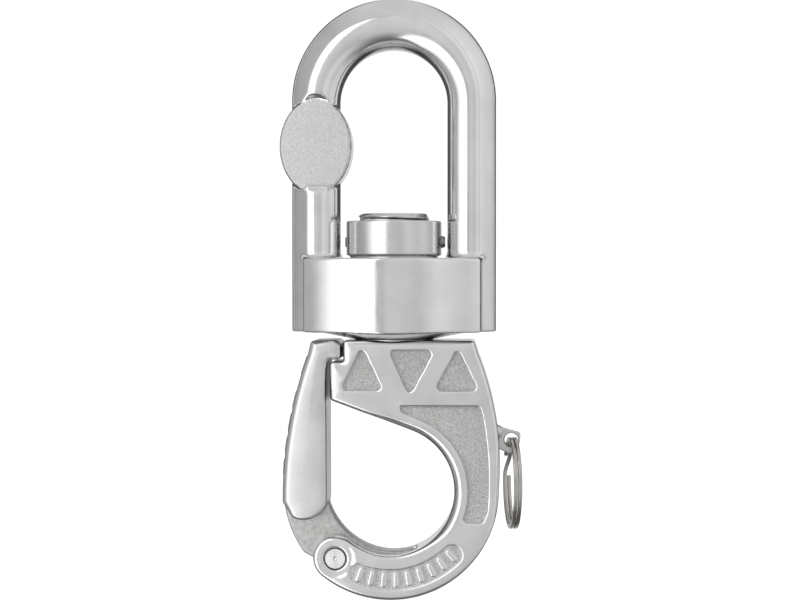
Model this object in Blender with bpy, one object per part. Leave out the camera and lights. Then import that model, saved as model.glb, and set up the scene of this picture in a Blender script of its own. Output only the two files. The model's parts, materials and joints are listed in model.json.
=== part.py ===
"""Snap shackle with a ball-bearing swivel: bail, swivel, hook, gate, lock and split ring.

Frame: the origin is the bearing point inside the bail's crown, +Z up along the swivel axis,
+X towards the lock's pull tab, -Y the front face.  Driving sizes are in millimetres.
"""
import math

import bmesh
import bpy
from mathutils import Matrix, Vector

MM = 0.001

# bail and swivel base
BAR_R = 6.0                 # half the bail bar's diameter
LEG_X = 19.3                # leg centre line from the swivel axis
ARCH_Z = -13.3              # centre of the arch
FLAT_START = 2.05           # where the bar's flattened outer flank starts, outward of the bar's centre
FLAT_END = 5.2              # where that flank ends
FLAT_END_Y = 2.6            # half width left between the two flanks
BAR_OUT = 6.2               # how far the bar reaches outward, past its flanks
CROWN_GROW = 0.125          # how much thicker the bar's outer side is at the crown
PAD_Z = -24.0               # marking pad: centre, half axes, half thickness
PAD_HALF_X = 8.95
PAD_HALF_Z = 11.8
PAD_HALF_Y = 4.6
PAD_SHOULDER = 1.9          # how far the facing over the pad widens towards the bar's skin
PAD_RUNOUT_Z = -33.15       # where the facing starts to ramp up to the bar's skin
PAD_RUNOUT_END_Z = -36.6
PAD_RUNOUT_DEG = -53.0      # angle on the pad's outline where the ramp starts
BASE_TOP_Z = -51.75
BASE_FRONT_Y = 18.0         # base plan: front crown and corners
BASE_CORNER_X = 21.7
BASE_CORNER_Y = 10.7
BASE_UNDER_Z = -71.75       # underside: a ring round the bore, a shallow cone, then a rim
BASE_UNDER_R = 10.6
BASE_RIM_Z = -70.05
BASE_RIM_R = 19.2
BASE_BORE_R = 10.05
COUNTERBORE_R = 12.75
COUNTERBORE_Z = -58.75

# swivel stack
SHANK_R = 9.0
SHANK_TOP_Z = -40.7
BUSH_IN_R = 9.12
BUSH_OUT_R = 9.95
BUSH_TOP_Z = -58.9
BUSH_LOW_Z = -71.93
BALL_R = 1.35
BALL_COUNT = 14
BALL_PITCH_R = 10.9
BALL_Z = -55.8
GROOVE_R = 1.41
RACE_IN_R = 9.35
RACE_OUT_R = 12.6
RACE_GAP = 1.0              # race face from the ball centre
RACE_THICK = 1.85
CAGE_IN_R = 9.15
CAGE_OUT_R = 12.62
CAGE_HALF = 0.5
CAGE_PLAY = 0.12
NUT_R = 11.9
NUT_TOP_Z = -42.5
NUT_LOW_Z = -51.1
NUT_SPIGOT_R = 11.0
NUT_SPIGOT_Z = -52.9
NUT_BORE_R = 9.06
ROLL_PIN_R = 1.5
ROLL_PIN_Z = -47.7
ROLL_PIN_LEFT_X = -12.15
ROLL_PIN_RIGHT_X = 12.8

# hook body
BOWL = (-0.7, -109.4)       # centre of the bowl and of the outer bottom curve
BOWL_R = 15.9
OUTER_R = 26.9
BODY_TOP_Z = -72.05
BODY_TOP_RIGHT_X = 20.1
BODY_HALF_TOP = 9.5         # half thickness at the top, and from TAPER_LOW_Z down
BODY_HALF = 8.0
TAPER_TOP_Z = -74.0
TAPER_LOW_Z = -92.0
SLOPE_DEG = 20.9            # the bowl's straight upper edge
LIP_X = -15.5
LIP_TOP_Z = -77.3
LIP_LOW_Z = -86.8
NOTCH_X = -12.1
POCKET_DEPTH = 1.1
EDGE = 0.8                  # bevel along the body's edges
BAND_IN_R = 19.4            # decorated band along the bottom, about the bowl's centre
BAND_OUT_R = 24.4
BAND_FROM_DEG = 246.0
BAND_TO_DEG = 318.0
BAND_DEPTH = 0.7
BAND_BARS = 9
BAND_BAR_HALF_WIDTH = 0.75
BAND_BAR_HALF_LENGTH = 1.9

# gate
PIVOT = (-14.2, -126.0)
PIN_R = 2.75
SPOTFACE_R = 4.65           # flat milled around each end of the pivot pin
SPOTFACE_DEPTH = 0.3
PIN_HALF_LENGTH = 7.8
GATE_HUB_R = 5.4
SLOT_R = 7.0
SLOT_HALF = 3.2
SLOT_FLOOR_R = 19.4
SLOT_END_X = 5.7
TONGUE_HALF = 3.0
HEEL_END_X = 4.8
HEEL_LOW_R = 18.9
HEEL_TOP_Z = -124.2
GATE_EDGE = 0.8
GRIP_HALF_Y = 3.6
GRIP_PROUD = 0.45

# lock, in its own frame: x outward along the pull, 0 at the tab's hole
TAB_HOLE = (29.3, -97.0)
LOCK_DEG = 27.5
TAB_HALF_Y = 1.15
TAB_HOLE_R = 1.7
ROD_R = 1.8
TIP_R = 1.2
COLLAR_R = 3.0
LOCK_BORE_R = 3.2
TIP_BORE_R = 1.35
ROD_END_X = -41.2
STEM_END_X = -2.6
TIP_FACE_X = -12.6          # the tip's end face, parallel to the nose, in the part's frame
NOSE_POCKET_X = -14.05      # floor of the nose's pocket, in the part's frame
COLLAR_X = -25.5
COLLAR_LENGTH = 1.6
GLAND_OUTER_X = -6.9
GLAND_LENGTH = 4.0
GLAND_R = 3.8
SPRING_WIRE_R = 0.4
SPRING_R = 2.45
SPRING_TURNS = 8

# split ring
RING_R = 10.8
RING_TURN_HALF = 0.47       # half of one turn's axial width
RING_WIRE_HALF = 0.65       # half of the wire's radial width
RING_PITCH = 1.06
RING_YAW_DEG = 7.0
RING_REST_X = 0.3           # how far out in the tab's hole the ring rests

MATERIALS = {
    "polished_steel": ((0.72, 0.72, 0.71, 1.0), 0.22, 1.0),
    "turned_steel": ((0.66, 0.66, 0.66, 1.0), 0.28, 1.0),
    "satin_steel": ((0.62, 0.62, 0.61, 1.0), 0.42, 1.0),
    "bearing_steel": ((0.52, 0.52, 0.54, 1.0), 0.18, 1.0),
    "ring_steel": ((0.55, 0.53, 0.51, 1.0), 0.30, 1.0),
    "brass": ((0.72, 0.55, 0.25, 1.0), 0.35, 1.0),
    "black_polymer": ((0.025, 0.025, 0.027, 1.0), 0.55, 0.0),
}


# ---------------------------------------------------------------- outlines

def arc(centre, radius, start, end, steps):
    """Points on a circle from angle start to end in degrees."""
    angles = [math.radians(start + (end - start) * i / steps) for i in range(steps + 1)]
    return [(centre[0] + radius * math.cos(a), centre[1] + radius * math.sin(a)) for a in angles]


def circle_through(a, b, c):
    """Centre and radius of the circle through three points."""
    d = 2 * (a[0] * (b[1] - c[1]) + b[0] * (c[1] - a[1]) + c[0] * (a[1] - b[1]))
    aa, bb, cc = (p[0] ** 2 + p[1] ** 2 for p in (a, b, c))
    x = (aa * (b[1] - c[1]) + bb * (c[1] - a[1]) + cc * (a[1] - b[1])) / d
    y = (aa * (c[0] - b[0]) + bb * (a[0] - c[0]) + cc * (b[0] - a[0])) / d
    return (x, y), math.hypot(a[0] - x, a[1] - y)


def angle_of(centre, point):
    return math.degrees(math.atan2(point[1] - centre[1], point[0] - centre[0]))


def arc_through(a, b, c, steps):
    """Points on the circle through three points, from a past b to c."""
    centre, radius = circle_through(a, b, c)
    start, middle, end = (angle_of(centre, p) for p in (a, b, c))
    turn = (end - start) % 360
    if (middle - start) % 360 > turn:
        turn -= 360
    return arc(centre, radius, start, start + turn, steps)


def rounded(corners, steps=4):
    """A closed outline from (x, z, fillet radius) corners; a radius of 0 keeps the point."""
    points = []
    for i, (x, z, radius) in enumerate(corners):
        here = Vector((x, z))
        if radius == 0:
            points.append((x, z))
            continue
        back = (Vector(corners[i - 1][:2]) - here).normalized()
        ahead = (Vector(corners[(i + 1) % len(corners)][:2]) - here).normalized()
        half = back.angle(ahead) / 2
        start = here + back * (radius / math.tan(half))
        centre = here + (back + ahead).normalized() * (radius / math.sin(half))
        turn = math.atan2(back.x * ahead.y - back.y * ahead.x, back.dot(ahead))
        sweep = math.copysign(math.pi - abs(turn), -turn)
        for k in range(steps + 1):
            spoke = Matrix.Rotation(sweep * k / steps, 2) @ (start - centre)
            points.append(tuple(centre + spoke))
    return points


def plain(points):
    return [(x, z, 0) for x, z in points]


def ellipse(centre, half_x, half_z, steps):
    turns = [2 * math.pi * i / steps for i in range(steps)]
    return [(centre[0] + half_x * math.cos(t), centre[1] + half_z * math.sin(t)) for t in turns]


# ---------------------------------------------------------------- solids

def new_object(name, mesh_data, material=None, smooth=True):
    """An object in the scene from a bmesh whose sizes are in millimetres."""
    bmesh.ops.remove_doubles(mesh_data, verts=mesh_data.verts, dist=0.0005)
    bmesh.ops.recalc_face_normals(mesh_data, faces=mesh_data.faces)
    bmesh.ops.scale(mesh_data, vec=(MM, MM, MM), verts=mesh_data.verts)
    mesh = bpy.data.meshes.new(name)
    mesh_data.to_mesh(mesh)
    mesh_data.free()
    if smooth:
        mesh.shade_smooth()
        mesh.set_sharp_from_angle(angle=math.radians(32))
    obj = bpy.data.objects.new(name, mesh)
    bpy.context.scene.collection.objects.link(obj)
    if material:
        mesh.materials.append(bpy.data.materials[material])
    return obj


def lofted(name, loops, material=None):
    """A solid through closed loops of 3-D points, capped at both ends."""
    bm = bmesh.new()
    rings = [[bm.verts.new(p) for p in loop] for loop in loops]
    for low, high in zip(rings, rings[1:]):
        for i in range(len(low)):
            j = (i + 1) % len(low)
            bm.faces.new((low[i], low[j], high[j], high[i]))
    bm.faces.new(list(reversed(rings[0])))
    bm.faces.new(rings[-1])
    return new_object(name, bm, material)


def slab(name, outline, y_low, y_high, material=None):
    """An XZ outline extruded along Y."""
    return lofted(name, [[(x, y, z) for x, z in outline] for y in (y_low, y_high)], material)


def plate(name, outline, z_low, z_high, material=None):
    """An XY outline extruded along Z."""
    return lofted(name, [[(x, y, z) for x, y in outline] for z in (z_low, z_high)], material)


def turned(name, profile, segments, material=None):
    """A closed (radius, height) profile turned about Z; radius 0 makes a pole."""
    bm = bmesh.new()
    rings = []
    for radius, height in profile:
        if radius == 0:
            rings.append([bm.verts.new((0, 0, height))])
            continue
        spokes = [2 * math.pi * i / segments for i in range(segments)]
        rings.append([bm.verts.new((radius * math.cos(a), radius * math.sin(a), height))
                      for a in spokes])
    for here, after in zip(rings, rings[1:] + rings[:1]):
        if len(here) == 1 and len(after) == 1:
            continue
        for i in range(segments):
            j = (i + 1) % segments
            quad = [here[i % len(here)], here[j % len(here)],
                    after[j % len(after)], after[i % len(after)]]
            bm.faces.new(list(dict.fromkeys(quad)))
    return new_object(name, bm, material)


def rod(name, radius, start, end, segments, material=None, chamfer=0.0):
    """A round rod about local Z, from start to end."""
    profile = [(0, start), (radius - chamfer, start), (radius, start + chamfer),
               (radius, end - chamfer), (radius - chamfer, end), (0, end)]
    if chamfer == 0:
        profile = [(0, start), (radius, start), (radius, end), (0, end)]
    return turned(name, profile, segments, material)


def place(obj, x=0.0, y=0.0, z=0.0, rotation=(0, 0, 0)):
    obj.location = (x * MM, y * MM, z * MM)
    obj.rotation_euler = rotation
    return obj


def apply_mode(obj, tool, operation):
    modifier = obj.modifiers.new(tool.name, "BOOLEAN")
    modifier.operation = operation
    modifier.solver = "EXACT"
    modifier.object = tool
    tool.hide_render = True
    tool.display_type = "WIRE"


def cut(obj, tool):
    apply_mode(obj, tool, "DIFFERENCE")


def join(obj, tool):
    apply_mode(obj, tool, "UNION")


def keep_inside(obj, tool):
    apply_mode(obj, tool, "INTERSECT")


def bevel(obj, width, segments, degrees=35):
    modifier = obj.modifiers.new("edge_bevel", "BEVEL")
    modifier.width = width * MM
    modifier.segments = segments
    modifier.limit_method = "ANGLE"
    modifier.angle_limit = math.radians(degrees)


ALONG_Y = (math.pi / 2, 0, 0)        # turns local Z to -Y
ALONG_X = (0, math.pi / 2, 0)        # turns local Z to +X


# ---------------------------------------------------------------- bail

def bar_section():
    """The bail bar's section as (outward, across) points: round inside, flattened flanks outside."""
    flank_y = math.sqrt(BAR_R ** 2 - FLAT_START ** 2)
    start = math.degrees(math.atan2(flank_y, FLAT_START))
    inner = arc((0, 0), BAR_R, start, 360 - start, 14)
    outer = [(FLAT_END, -FLAT_END_Y), (BAR_OUT, -FLAT_END_Y * 0.45),
             (BAR_OUT, FLAT_END_Y * 0.45), (FLAT_END, FLAT_END_Y)]
    return inner + outer


def bail_bar():
    """The bar along leg, arch and leg; both legs run down past the base, which trims them."""
    section = bar_section()
    leg_end_z = BASE_UNDER_Z - 3
    loops = [[(LEG_X + u, v, leg_end_z) for u, v in section]]
    arch_steps = 20
    for i in range(arch_steps + 1):
        turn = math.pi * i / arch_steps
        grow = 1 + CROWN_GROW * math.sin(turn)
        radii = [(LEG_X + (u * grow if u > 0 else u), v) for u, v in section]
        loops.append([(r * math.cos(turn), v, ARCH_Z + r * math.sin(turn)) for r, v in radii])
    loops.append([(-LEG_X - u, v, leg_end_z) for u, v in section])
    return lofted("bail_forging", loops, "polished_steel")


def pad_outline():
    return ellipse((-LEG_X, PAD_Z), PAD_HALF_X, PAD_HALF_Z, 40)


def pad_facing_cutter(side):
    """What mills the bar flat over the marking pad: a sloped shoulder, and a ramp at the bottom."""
    loops = []
    levels = [(PAD_HALF_Y, 0.0, PAD_RUNOUT_Z), (PAD_HALF_Y + PAD_SHOULDER, PAD_SHOULDER, PAD_RUNOUT_END_Z)]
    for y, grow, low_z in levels:
        outline = []
        for i in range(33):
            turn = math.radians(PAD_RUNOUT_DEG + (180 - 2 * PAD_RUNOUT_DEG) * i / 32)
            outline.append((-LEG_X + (PAD_HALF_X + grow) * math.cos(turn),
                            PAD_Z + (PAD_HALF_Z + grow) * math.sin(turn)))
        outline[0] = (outline[0][0], low_z)
        outline[-1] = (outline[-1][0], low_z)
        loops.append([(x, side * y, z) for x, z in outline])
    return lofted("pad_facing_cutter", loops)


def base_plan():
    """Crowned front and back, flat sides."""
    left, right = (-BASE_CORNER_X, -BASE_CORNER_Y), (BASE_CORNER_X, -BASE_CORNER_Y)
    front = arc_through(left, (0, -BASE_FRONT_Y), right, 20)
    return front + [(-x, -y) for x, y in front]


def under_cutter():
    """Takes away everything under the base: flat at the bore, a shallow cone, then a flat rim."""
    deep, reach = BASE_UNDER_Z - 8, 40
    profile = [(0, deep), (reach, deep), (reach, BASE_RIM_Z), (BASE_RIM_R, BASE_RIM_Z),
               (BASE_UNDER_R, BASE_UNDER_Z), (0, BASE_UNDER_Z)]
    return turned("under_cutter", profile, 64)


def make_bail():
    bail = bail_bar()
    join(bail, slab("marking_pad", pad_outline(), -PAD_HALF_Y, PAD_HALF_Y))
    for side in (-1, 1):
        cut(bail, pad_facing_cutter(side))
    block = plate("base_block", base_plan(), BASE_UNDER_Z - 2, BASE_TOP_Z)
    bevel(block, 0.6, 2, 30)
    join(bail, block)
    cut(bail, under_cutter())
    cut(bail, rod("base_bore", BASE_BORE_R, BASE_UNDER_Z - 2, BASE_TOP_Z + 1, 48))
    cut(bail, rod("bearing_seat", COUNTERBORE_R, COUNTERBORE_Z, BASE_TOP_Z + 2, 48))


# ---------------------------------------------------------------- swivel stack

def make_bush():
    profile = [(BUSH_IN_R, BUSH_LOW_Z), (BUSH_OUT_R, BUSH_LOW_Z),
               (BUSH_OUT_R, BUSH_TOP_Z), (BUSH_IN_R, BUSH_TOP_Z)]
    return turned("swivel_bush", profile, 48, "black_polymer")


def race_profile(side):
    """A race's profile with its ball groove; side is +1 above the balls and -1 below."""
    face = BALL_Z + side * RACE_GAP
    back = face + side * RACE_THICK
    half = math.degrees(math.acos(RACE_GAP / GROOVE_R))
    groove = arc((BALL_PITCH_R, BALL_Z), GROOVE_R, 90 * side + half, 90 * side - half, 4)
    if side < 0:
        groove.reverse()
    return [(RACE_IN_R, back), (RACE_IN_R, face)] + groove + [(RACE_OUT_R, face), (RACE_OUT_R, back)]


def make_bearing():
    turned("bearing_upper_race", race_profile(1), 48, "bearing_steel")
    turned("bearing_lower_race", race_profile(-1), 48, "bearing_steel")
    cage = turned("bearing_cage", [(CAGE_IN_R, BALL_Z - CAGE_HALF), (CAGE_OUT_R, BALL_Z - CAGE_HALF),
                                   (CAGE_OUT_R, BALL_Z + CAGE_HALF),
                                   (CAGE_IN_R, BALL_Z + CAGE_HALF)], 50, "brass")
    pockets = bmesh.new()
    for i in range(BALL_COUNT):
        turn = 2 * math.pi * i / BALL_COUNT
        x, y = BALL_PITCH_R * math.cos(turn), BALL_PITCH_R * math.sin(turn)
        bmesh.ops.create_cone(pockets, cap_ends=True, segments=12, depth=4,
                              radius1=BALL_R + CAGE_PLAY, radius2=BALL_R + CAGE_PLAY,
                              matrix=Matrix.Translation((x, y, BALL_Z)))
        ball = bmesh.new()
        bmesh.ops.create_icosphere(ball, subdivisions=2, radius=BALL_R)
        place(new_object(f"bearing_ball_{i + 1:02d}", ball, "bearing_steel"), x, y, BALL_Z)
    cut(cage, new_object("cage_pockets", pockets))


def make_nut():
    chamfer = 0.5
    profile = [(NUT_BORE_R, NUT_SPIGOT_Z), (NUT_SPIGOT_R, NUT_SPIGOT_Z), (NUT_SPIGOT_R, NUT_LOW_Z),
               (NUT_R - chamfer, NUT_LOW_Z), (NUT_R, NUT_LOW_Z + chamfer),
               (NUT_R, NUT_TOP_Z - chamfer), (NUT_R - chamfer, NUT_TOP_Z), (NUT_BORE_R, NUT_TOP_Z)]
    nut = turned("ring_nut", profile, 56, "turned_steel")
    cut(nut, roll_pin_bore("nut_pin_bore"))
    pin = rod("nut_roll_pin", ROLL_PIN_R, ROLL_PIN_LEFT_X, ROLL_PIN_RIGHT_X, 20, "turned_steel", 0.3)
    place(pin, z=ROLL_PIN_Z, rotation=ALONG_X)


def roll_pin_bore(name):
    return place(rod(name, ROLL_PIN_R + 0.08, -14, 14, 20), z=ROLL_PIN_Z, rotation=ALONG_X)


# ---------------------------------------------------------------- hook body

def body_outline():
    """The hook body's front outline, clockwise from the notch."""
    right = arc_through((21.2, -75.6), (25.3, -90.0), (BOWL[0] + OUTER_R, BOWL[1]), 10)
    ear_r = math.dist(BOWL, PIVOT) - BOWL_R
    toward_ear = angle_of(BOWL, PIVOT) % 360
    bottom = arc(BOWL, OUTER_R, 0, toward_ear - 359, 26)[1:]
    ear = arc(PIVOT, ear_r, toward_ear - 1, toward_ear - 180, 14)
    bowl = arc(BOWL, BOWL_R, toward_ear, 450 - SLOPE_DEG, 30)[1:]
    top = [(NOTCH_X, BODY_TOP_Z, 0.4), (BODY_TOP_RIGHT_X, BODY_TOP_Z, 0.9)]
    lip = [(LIP_X, LIP_LOW_Z, 1.3), (LIP_X, LIP_TOP_Z, 0.9), (NOTCH_X, LIP_TOP_Z, 0.5)]
    return rounded(top + plain(right + bottom + ear + bowl) + lip, 3)


def thickness_form():
    """The side profile that tapers the hook's two faces."""
    half = [(-BODY_HALF_TOP, -60), (-BODY_HALF_TOP, TAPER_TOP_Z),
            (-BODY_HALF, TAPER_LOW_Z), (-BODY_HALF, -145)]
    outline = half + [(-y, z) for y, z in reversed(half)]
    return lofted("thickness_form", [[(x, y, z) for y, z in outline] for x in (-40, 40)])


def face_half(z):
    """Half thickness of the tapered body at height z."""
    share = min(1, max(0, (TAPER_TOP_Z - z) / (TAPER_TOP_Z - TAPER_LOW_Z)))
    return BODY_HALF_TOP + (BODY_HALF - BODY_HALF_TOP) * share


def pocket_outlines():
    """Front outlines of the blasted pockets: three triangles and the long bow pocket."""
    triangles = [rounded([(-7.5, -73.4, 1.0), (-13.0, -84.45, 1.0), (-2.4, -84.45, 1.0)]),
                 rounded([(-1.0, -74.5, 1.0), (10.2, -74.5, 1.0), (4.05, -86.0, 1.0)]),
                 rounded([(16.0, -73.7, 1.0), (10.2, -84.45, 1.0), (21.2, -84.45, 1.0)])]
    inner = arc(BOWL, 19.2, 84 - SLOPE_DEG, -20.5, 12)
    right = arc_through((22.2, -90.8), (23.6, -103.0), (23.3, -114.6), 6)
    bow = rounded([(1.6, -88.3, 0.6), (21.6, -88.3, 1.0)] + plain(right) +
                  [(22.1, -117.1, 0.8), (17.9, -117.1, 0.8)] + plain(list(reversed(inner))) +
                  [(2.0, -89.7, 0)])
    return triangles + [bow]


def band_bar(angle):
    """One plain round-ended bar standing in the decorated band."""
    middle = (BAND_IN_R + BAND_OUT_R) / 2
    w, h = BAND_BAR_HALF_WIDTH, BAND_BAR_HALF_LENGTH
    shape = arc((h - w, 0), w, -90, 90, 5) + arc((w - h, 0), w, 90, 270, 5)
    c, s = math.cos(math.radians(angle)), math.sin(math.radians(angle))
    centre = (BOWL[0] + middle * c, BOWL[1] + middle * s)
    return [(centre[0] + u * c - v * s, centre[1] + u * s + v * c) for u, v in shape]


def band_outline():
    outer = arc(BOWL, BAND_OUT_R, BAND_FROM_DEG + 1, BAND_TO_DEG - 1, 16)
    inner = arc(BOWL, BAND_IN_R, BAND_TO_DEG, BAND_FROM_DEG, 14)
    return outer + inner


def recess_cutter(name, outline, side, depth):
    """Cuts an outline to a depth that follows the tapered face."""
    floor = [(x, side * (face_half(z) - depth), z) for x, z in outline]
    above = [(x, side * (BODY_HALF_TOP + 2), z) for x, z in outline]
    return lofted(name, [floor, above])


def slot_outline():
    """The slot between the ears: a disc about the pivot, then the heel's channel under the bowl."""
    end_deg = -math.degrees(math.acos((SLOT_END_X - BOWL[0]) / SLOT_FLOOR_R))
    floor = arc(BOWL, SLOT_FLOOR_R, end_deg, -110, 10)
    disc = arc(PIVOT, SLOT_R, -13, -262, 22)
    return floor + disc + [(-12.0, -116.0), (SLOT_END_X, -116.0)]


def lock_frame_empty():
    """An empty at the tab's hole whose X axis points outward along the lock's pull."""
    empty = bpy.data.objects.new("lock_axis", None)
    bpy.context.scene.collection.objects.link(empty)
    empty.location = (TAB_HOLE[0] * MM, 0, TAB_HOLE[1] * MM)
    empty.rotation_euler = (0, math.radians(LOCK_DEG), 0)
    return empty


def on_lock_axis(obj, empty):
    """Parents a piece made along local Z to the lock's axis, so that its Z is the pull."""
    obj.parent = empty
    obj.rotation_euler = ALONG_X
    return obj


def make_hook_body(lock_axis):
    body = slab("hook_body", body_outline(), -12, 12, "polished_steel")
    keep_inside(body, thickness_form())
    bevel(body, EDGE, 2, 40)
    join(body, rod("shank", SHANK_R, BODY_TOP_Z - 4, SHANK_TOP_Z, 48, None, 0.6))
    seat_y = BODY_HALF - SPOTFACE_DEPTH
    half = [(0, 12), (SPOTFACE_R, 12), (SPOTFACE_R, seat_y), (PIN_R + 0.06, seat_y)]
    bore = turned("pivot_bore", half + [(r, -y) for r, y in reversed(half)], 36)
    cut(body, place(bore, PIVOT[0], 0, PIVOT[1], ALONG_Y))
    for side in (-1, 1):
        for i, outline in enumerate(pocket_outlines()):
            cut(body, recess_cutter(f"pocket_cutter_{i + 1}", outline, side, POCKET_DEPTH))
        band = recess_cutter("band_cutter", band_outline(), side, BAND_DEPTH)
        step = (BAND_TO_DEG - BAND_FROM_DEG) / BAND_BARS
        for k in range(BAND_BARS):
            bar = slab(f"band_bar_{k + 1}", band_bar(BAND_FROM_DEG + (k + 0.5) * step),
                       min(side * 5, side * 14), max(side * 5, side * 14))
            cut(band, bar)
        cut(body, band)
    cut(body, slab("gate_slot", slot_outline(), -SLOT_HALF, SLOT_HALF))
    cut(body, roll_pin_bore("shank_pin_bore"))
    gland_floor = GLAND_OUTER_X - GLAND_LENGTH - 0.1
    steps = [(TIP_BORE_R, -52, -43.2), (ROD_R + 0.15, -43.2, -28.7),
             (LOCK_BORE_R, -28.7, gland_floor), (GLAND_R + 0.05, gland_floor, 2)]
    profile = [(0, steps[0][1])] + [p for r, low, high in steps for p in ((r, low), (r, high))]
    cut(body, on_lock_axis(turned("lock_bore", profile + [(0, steps[-1][2])], 24), lock_axis))
    guide = slab("tab_guide", [(-6.8, -3.8), (4, -3.8), (4, 3.1), (-6.8, 3.1)],
                 -TAB_HALF_Y - 0.25, TAB_HALF_Y + 0.25)
    guide.parent = lock_axis
    cut(body, guide)
    return body


# ---------------------------------------------------------------- gate

def gate_outline():
    """The gate's thick arm from nose to lobe, clockwise from the nose."""
    nose = [(-20.1, -72.1, 1.0), (-12.75, -71.9, 1.7), (-12.75, -76.8, 1.0), (-16.05, -76.8, 1.2)]
    inner = [(-16.4, -80.0, 0), (-16.3, -111.5, 0)]
    lobe = arc_through((-16.45, -112.9), (-19.9, -116.2), (-25.0, -115.9), 8)
    outer = arc_through((-27.35, -112.2), (-25.3, -91.0), (-20.9, -75.4), 14)
    return rounded(nose + inner + plain(lobe + outer), 4)


def tongue_outline():
    """The gate's thin tongue: outer curve, hub, heel and inner curve."""
    end_deg = -math.degrees(math.acos((HEEL_END_X - BOWL[0]) / HEEL_LOW_R))
    heel_low = arc(BOWL, HEEL_LOW_R, -115, end_deg, 8)
    heel_top = arc_through((HEEL_END_X - 0.4, HEEL_TOP_Z), (-8.0, -122.6), (-15.9, -113.6), 12)
    hub = arc(PIVOT, GATE_HUB_R, 187, 356, 14)
    outer = arc(BOWL, OUTER_R - 0.1, 187, 216, 8)
    return ([(-17.5, -109.0), (-24.5, -109.0)] + outer + hub + heel_low +
            [(HEEL_END_X, HEEL_TOP_Z - 0.5)] + heel_top)


def grip_pad(z_high, z_low):
    """One low finger-grip pad on the gate's outer edge."""
    outer_centre, radius = circle_through((-27.35, -112.2), (-25.3, -91.0), (-20.9, -75.4))
    angles = []
    for z in (z_high, z_low):
        angles.append(180 - math.degrees(math.asin((z - outer_centre[1]) / radius)))
    proud = arc(outer_centre, radius + GRIP_PROUD, angles[0] + 0.35, angles[1] - 0.35, 4)
    root = arc(outer_centre, radius - 0.8, angles[1], angles[0], 4)
    return proud + root


def make_gate(lock_axis):
    gate = slab("gate_arm", gate_outline(), -12, 12, "satin_steel")
    keep_inside(gate, thickness_form())
    bevel(gate, GATE_EDGE, 2, 40)
    join(gate, slab("gate_tongue", tongue_outline(), -TONGUE_HALF, TONGUE_HALF))
    for i, (high, low) in enumerate(((-75.8, -81.0), (-84.5, -89.3), (-90.3, -95.2),
                                     (-96.2, -100.5), (-101.5, -106.0))):
        join(gate, slab(f"grip_pad_{i + 1}", grip_pad(high, low), -GRIP_HALF_Y, GRIP_HALF_Y))
    cut(gate, place(rod("hub_bore", PIN_R + 0.06, -12, 12, 32), PIVOT[0], 0, PIVOT[1], ALONG_Y))
    pocket = on_lock_axis(rod("nose_pocket", TIP_BORE_R, -52, -45, 16), lock_axis)
    cut(pocket, slant_cutter("pocket_slant", NOSE_POCKET_X, lock_axis))
    cut(gate, pocket)
    return gate


def make_pivot_pin():
    dimple = 0.55
    profile = [(0, -PIN_HALF_LENGTH + dimple), (dimple, -PIN_HALF_LENGTH),
               (PIN_R - 0.25, -PIN_HALF_LENGTH), (PIN_R, -PIN_HALF_LENGTH + 0.25),
               (PIN_R, PIN_HALF_LENGTH - 0.25), (PIN_R - 0.25, PIN_HALF_LENGTH),
               (dimple, PIN_HALF_LENGTH), (0, PIN_HALF_LENGTH - dimple)]
    pin = turned("gate_pivot_pin", profile, 32, "turned_steel")
    return place(pin, PIVOT[0], 0, PIVOT[1], ALONG_Y)


# ---------------------------------------------------------------- lock

def tab_outline():
    """The pull tab in the lock's own frame; its hidden edge lies inside the guide slot."""
    return rounded([(-5.0, 1.35, 0), (1.25, 2.68, 0.7), (2.4, -0.2, 1.6),
                    (1.4, -3.35, 0.6), (-2.2, -3.45, 0)], 4)


def slant_cutter(name, world_x, lock_axis):
    """Takes away everything of a piece on the lock's axis that lies left of world_x."""
    a = math.radians(LOCK_DEG)
    along = (world_x - TAB_HOLE[0]) / math.cos(a)
    half, deep = 5, 6
    near = [(along - t * math.sin(a), t * math.cos(a)) for t in (-half, half)]
    far = [(x - deep * math.cos(a), z - deep * math.sin(a)) for x, z in reversed(near)]
    cutter = slab(name, near + far, -half, half)
    cutter.parent = lock_axis
    return cutter


def place_in_frame(obj, empty, rotation):
    obj.parent = empty
    obj.rotation_euler = rotation
    return obj


def make_lock(lock_axis):
    lock = slab("lock_pin", tab_outline(), -TAB_HALF_Y, TAB_HALF_Y, "satin_steel")
    lock.parent = lock_axis
    bevel(lock, 0.2, 1, 50)
    tip_end = (TIP_FACE_X - TAB_HOLE[0]) / math.cos(math.radians(LOCK_DEG)) - 2
    profile = [(0, tip_end), (TIP_R, tip_end), (TIP_R, ROD_END_X - 0.6), (ROD_R, ROD_END_X),
               (ROD_R, COLLAR_X - COLLAR_LENGTH), (COLLAR_R, COLLAR_X - COLLAR_LENGTH),
               (COLLAR_R, COLLAR_X), (ROD_R, COLLAR_X), (ROD_R, STEM_END_X), (0, STEM_END_X)]
    stem = on_lock_axis(turned("lock_stem", profile, 20), lock_axis)
    cut(stem, slant_cutter("tip_slant", TIP_FACE_X, lock_axis))
    join(lock, stem)
    cut(lock, place_in_frame(rod("tab_hole", TAB_HOLE_R, -3, 3, 28), lock_axis, ALONG_Y))


def make_gland(lock_axis):
    inner = GLAND_OUTER_X - GLAND_LENGTH
    profile = [(ROD_R + 0.12, inner), (GLAND_R, inner), (GLAND_R, GLAND_OUTER_X - 0.4),
               (GLAND_R - 0.4, GLAND_OUTER_X), (ROD_R + 0.12, GLAND_OUTER_X)]
    on_lock_axis(turned("lock_gland", profile, 28, "turned_steel"), lock_axis)


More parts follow.
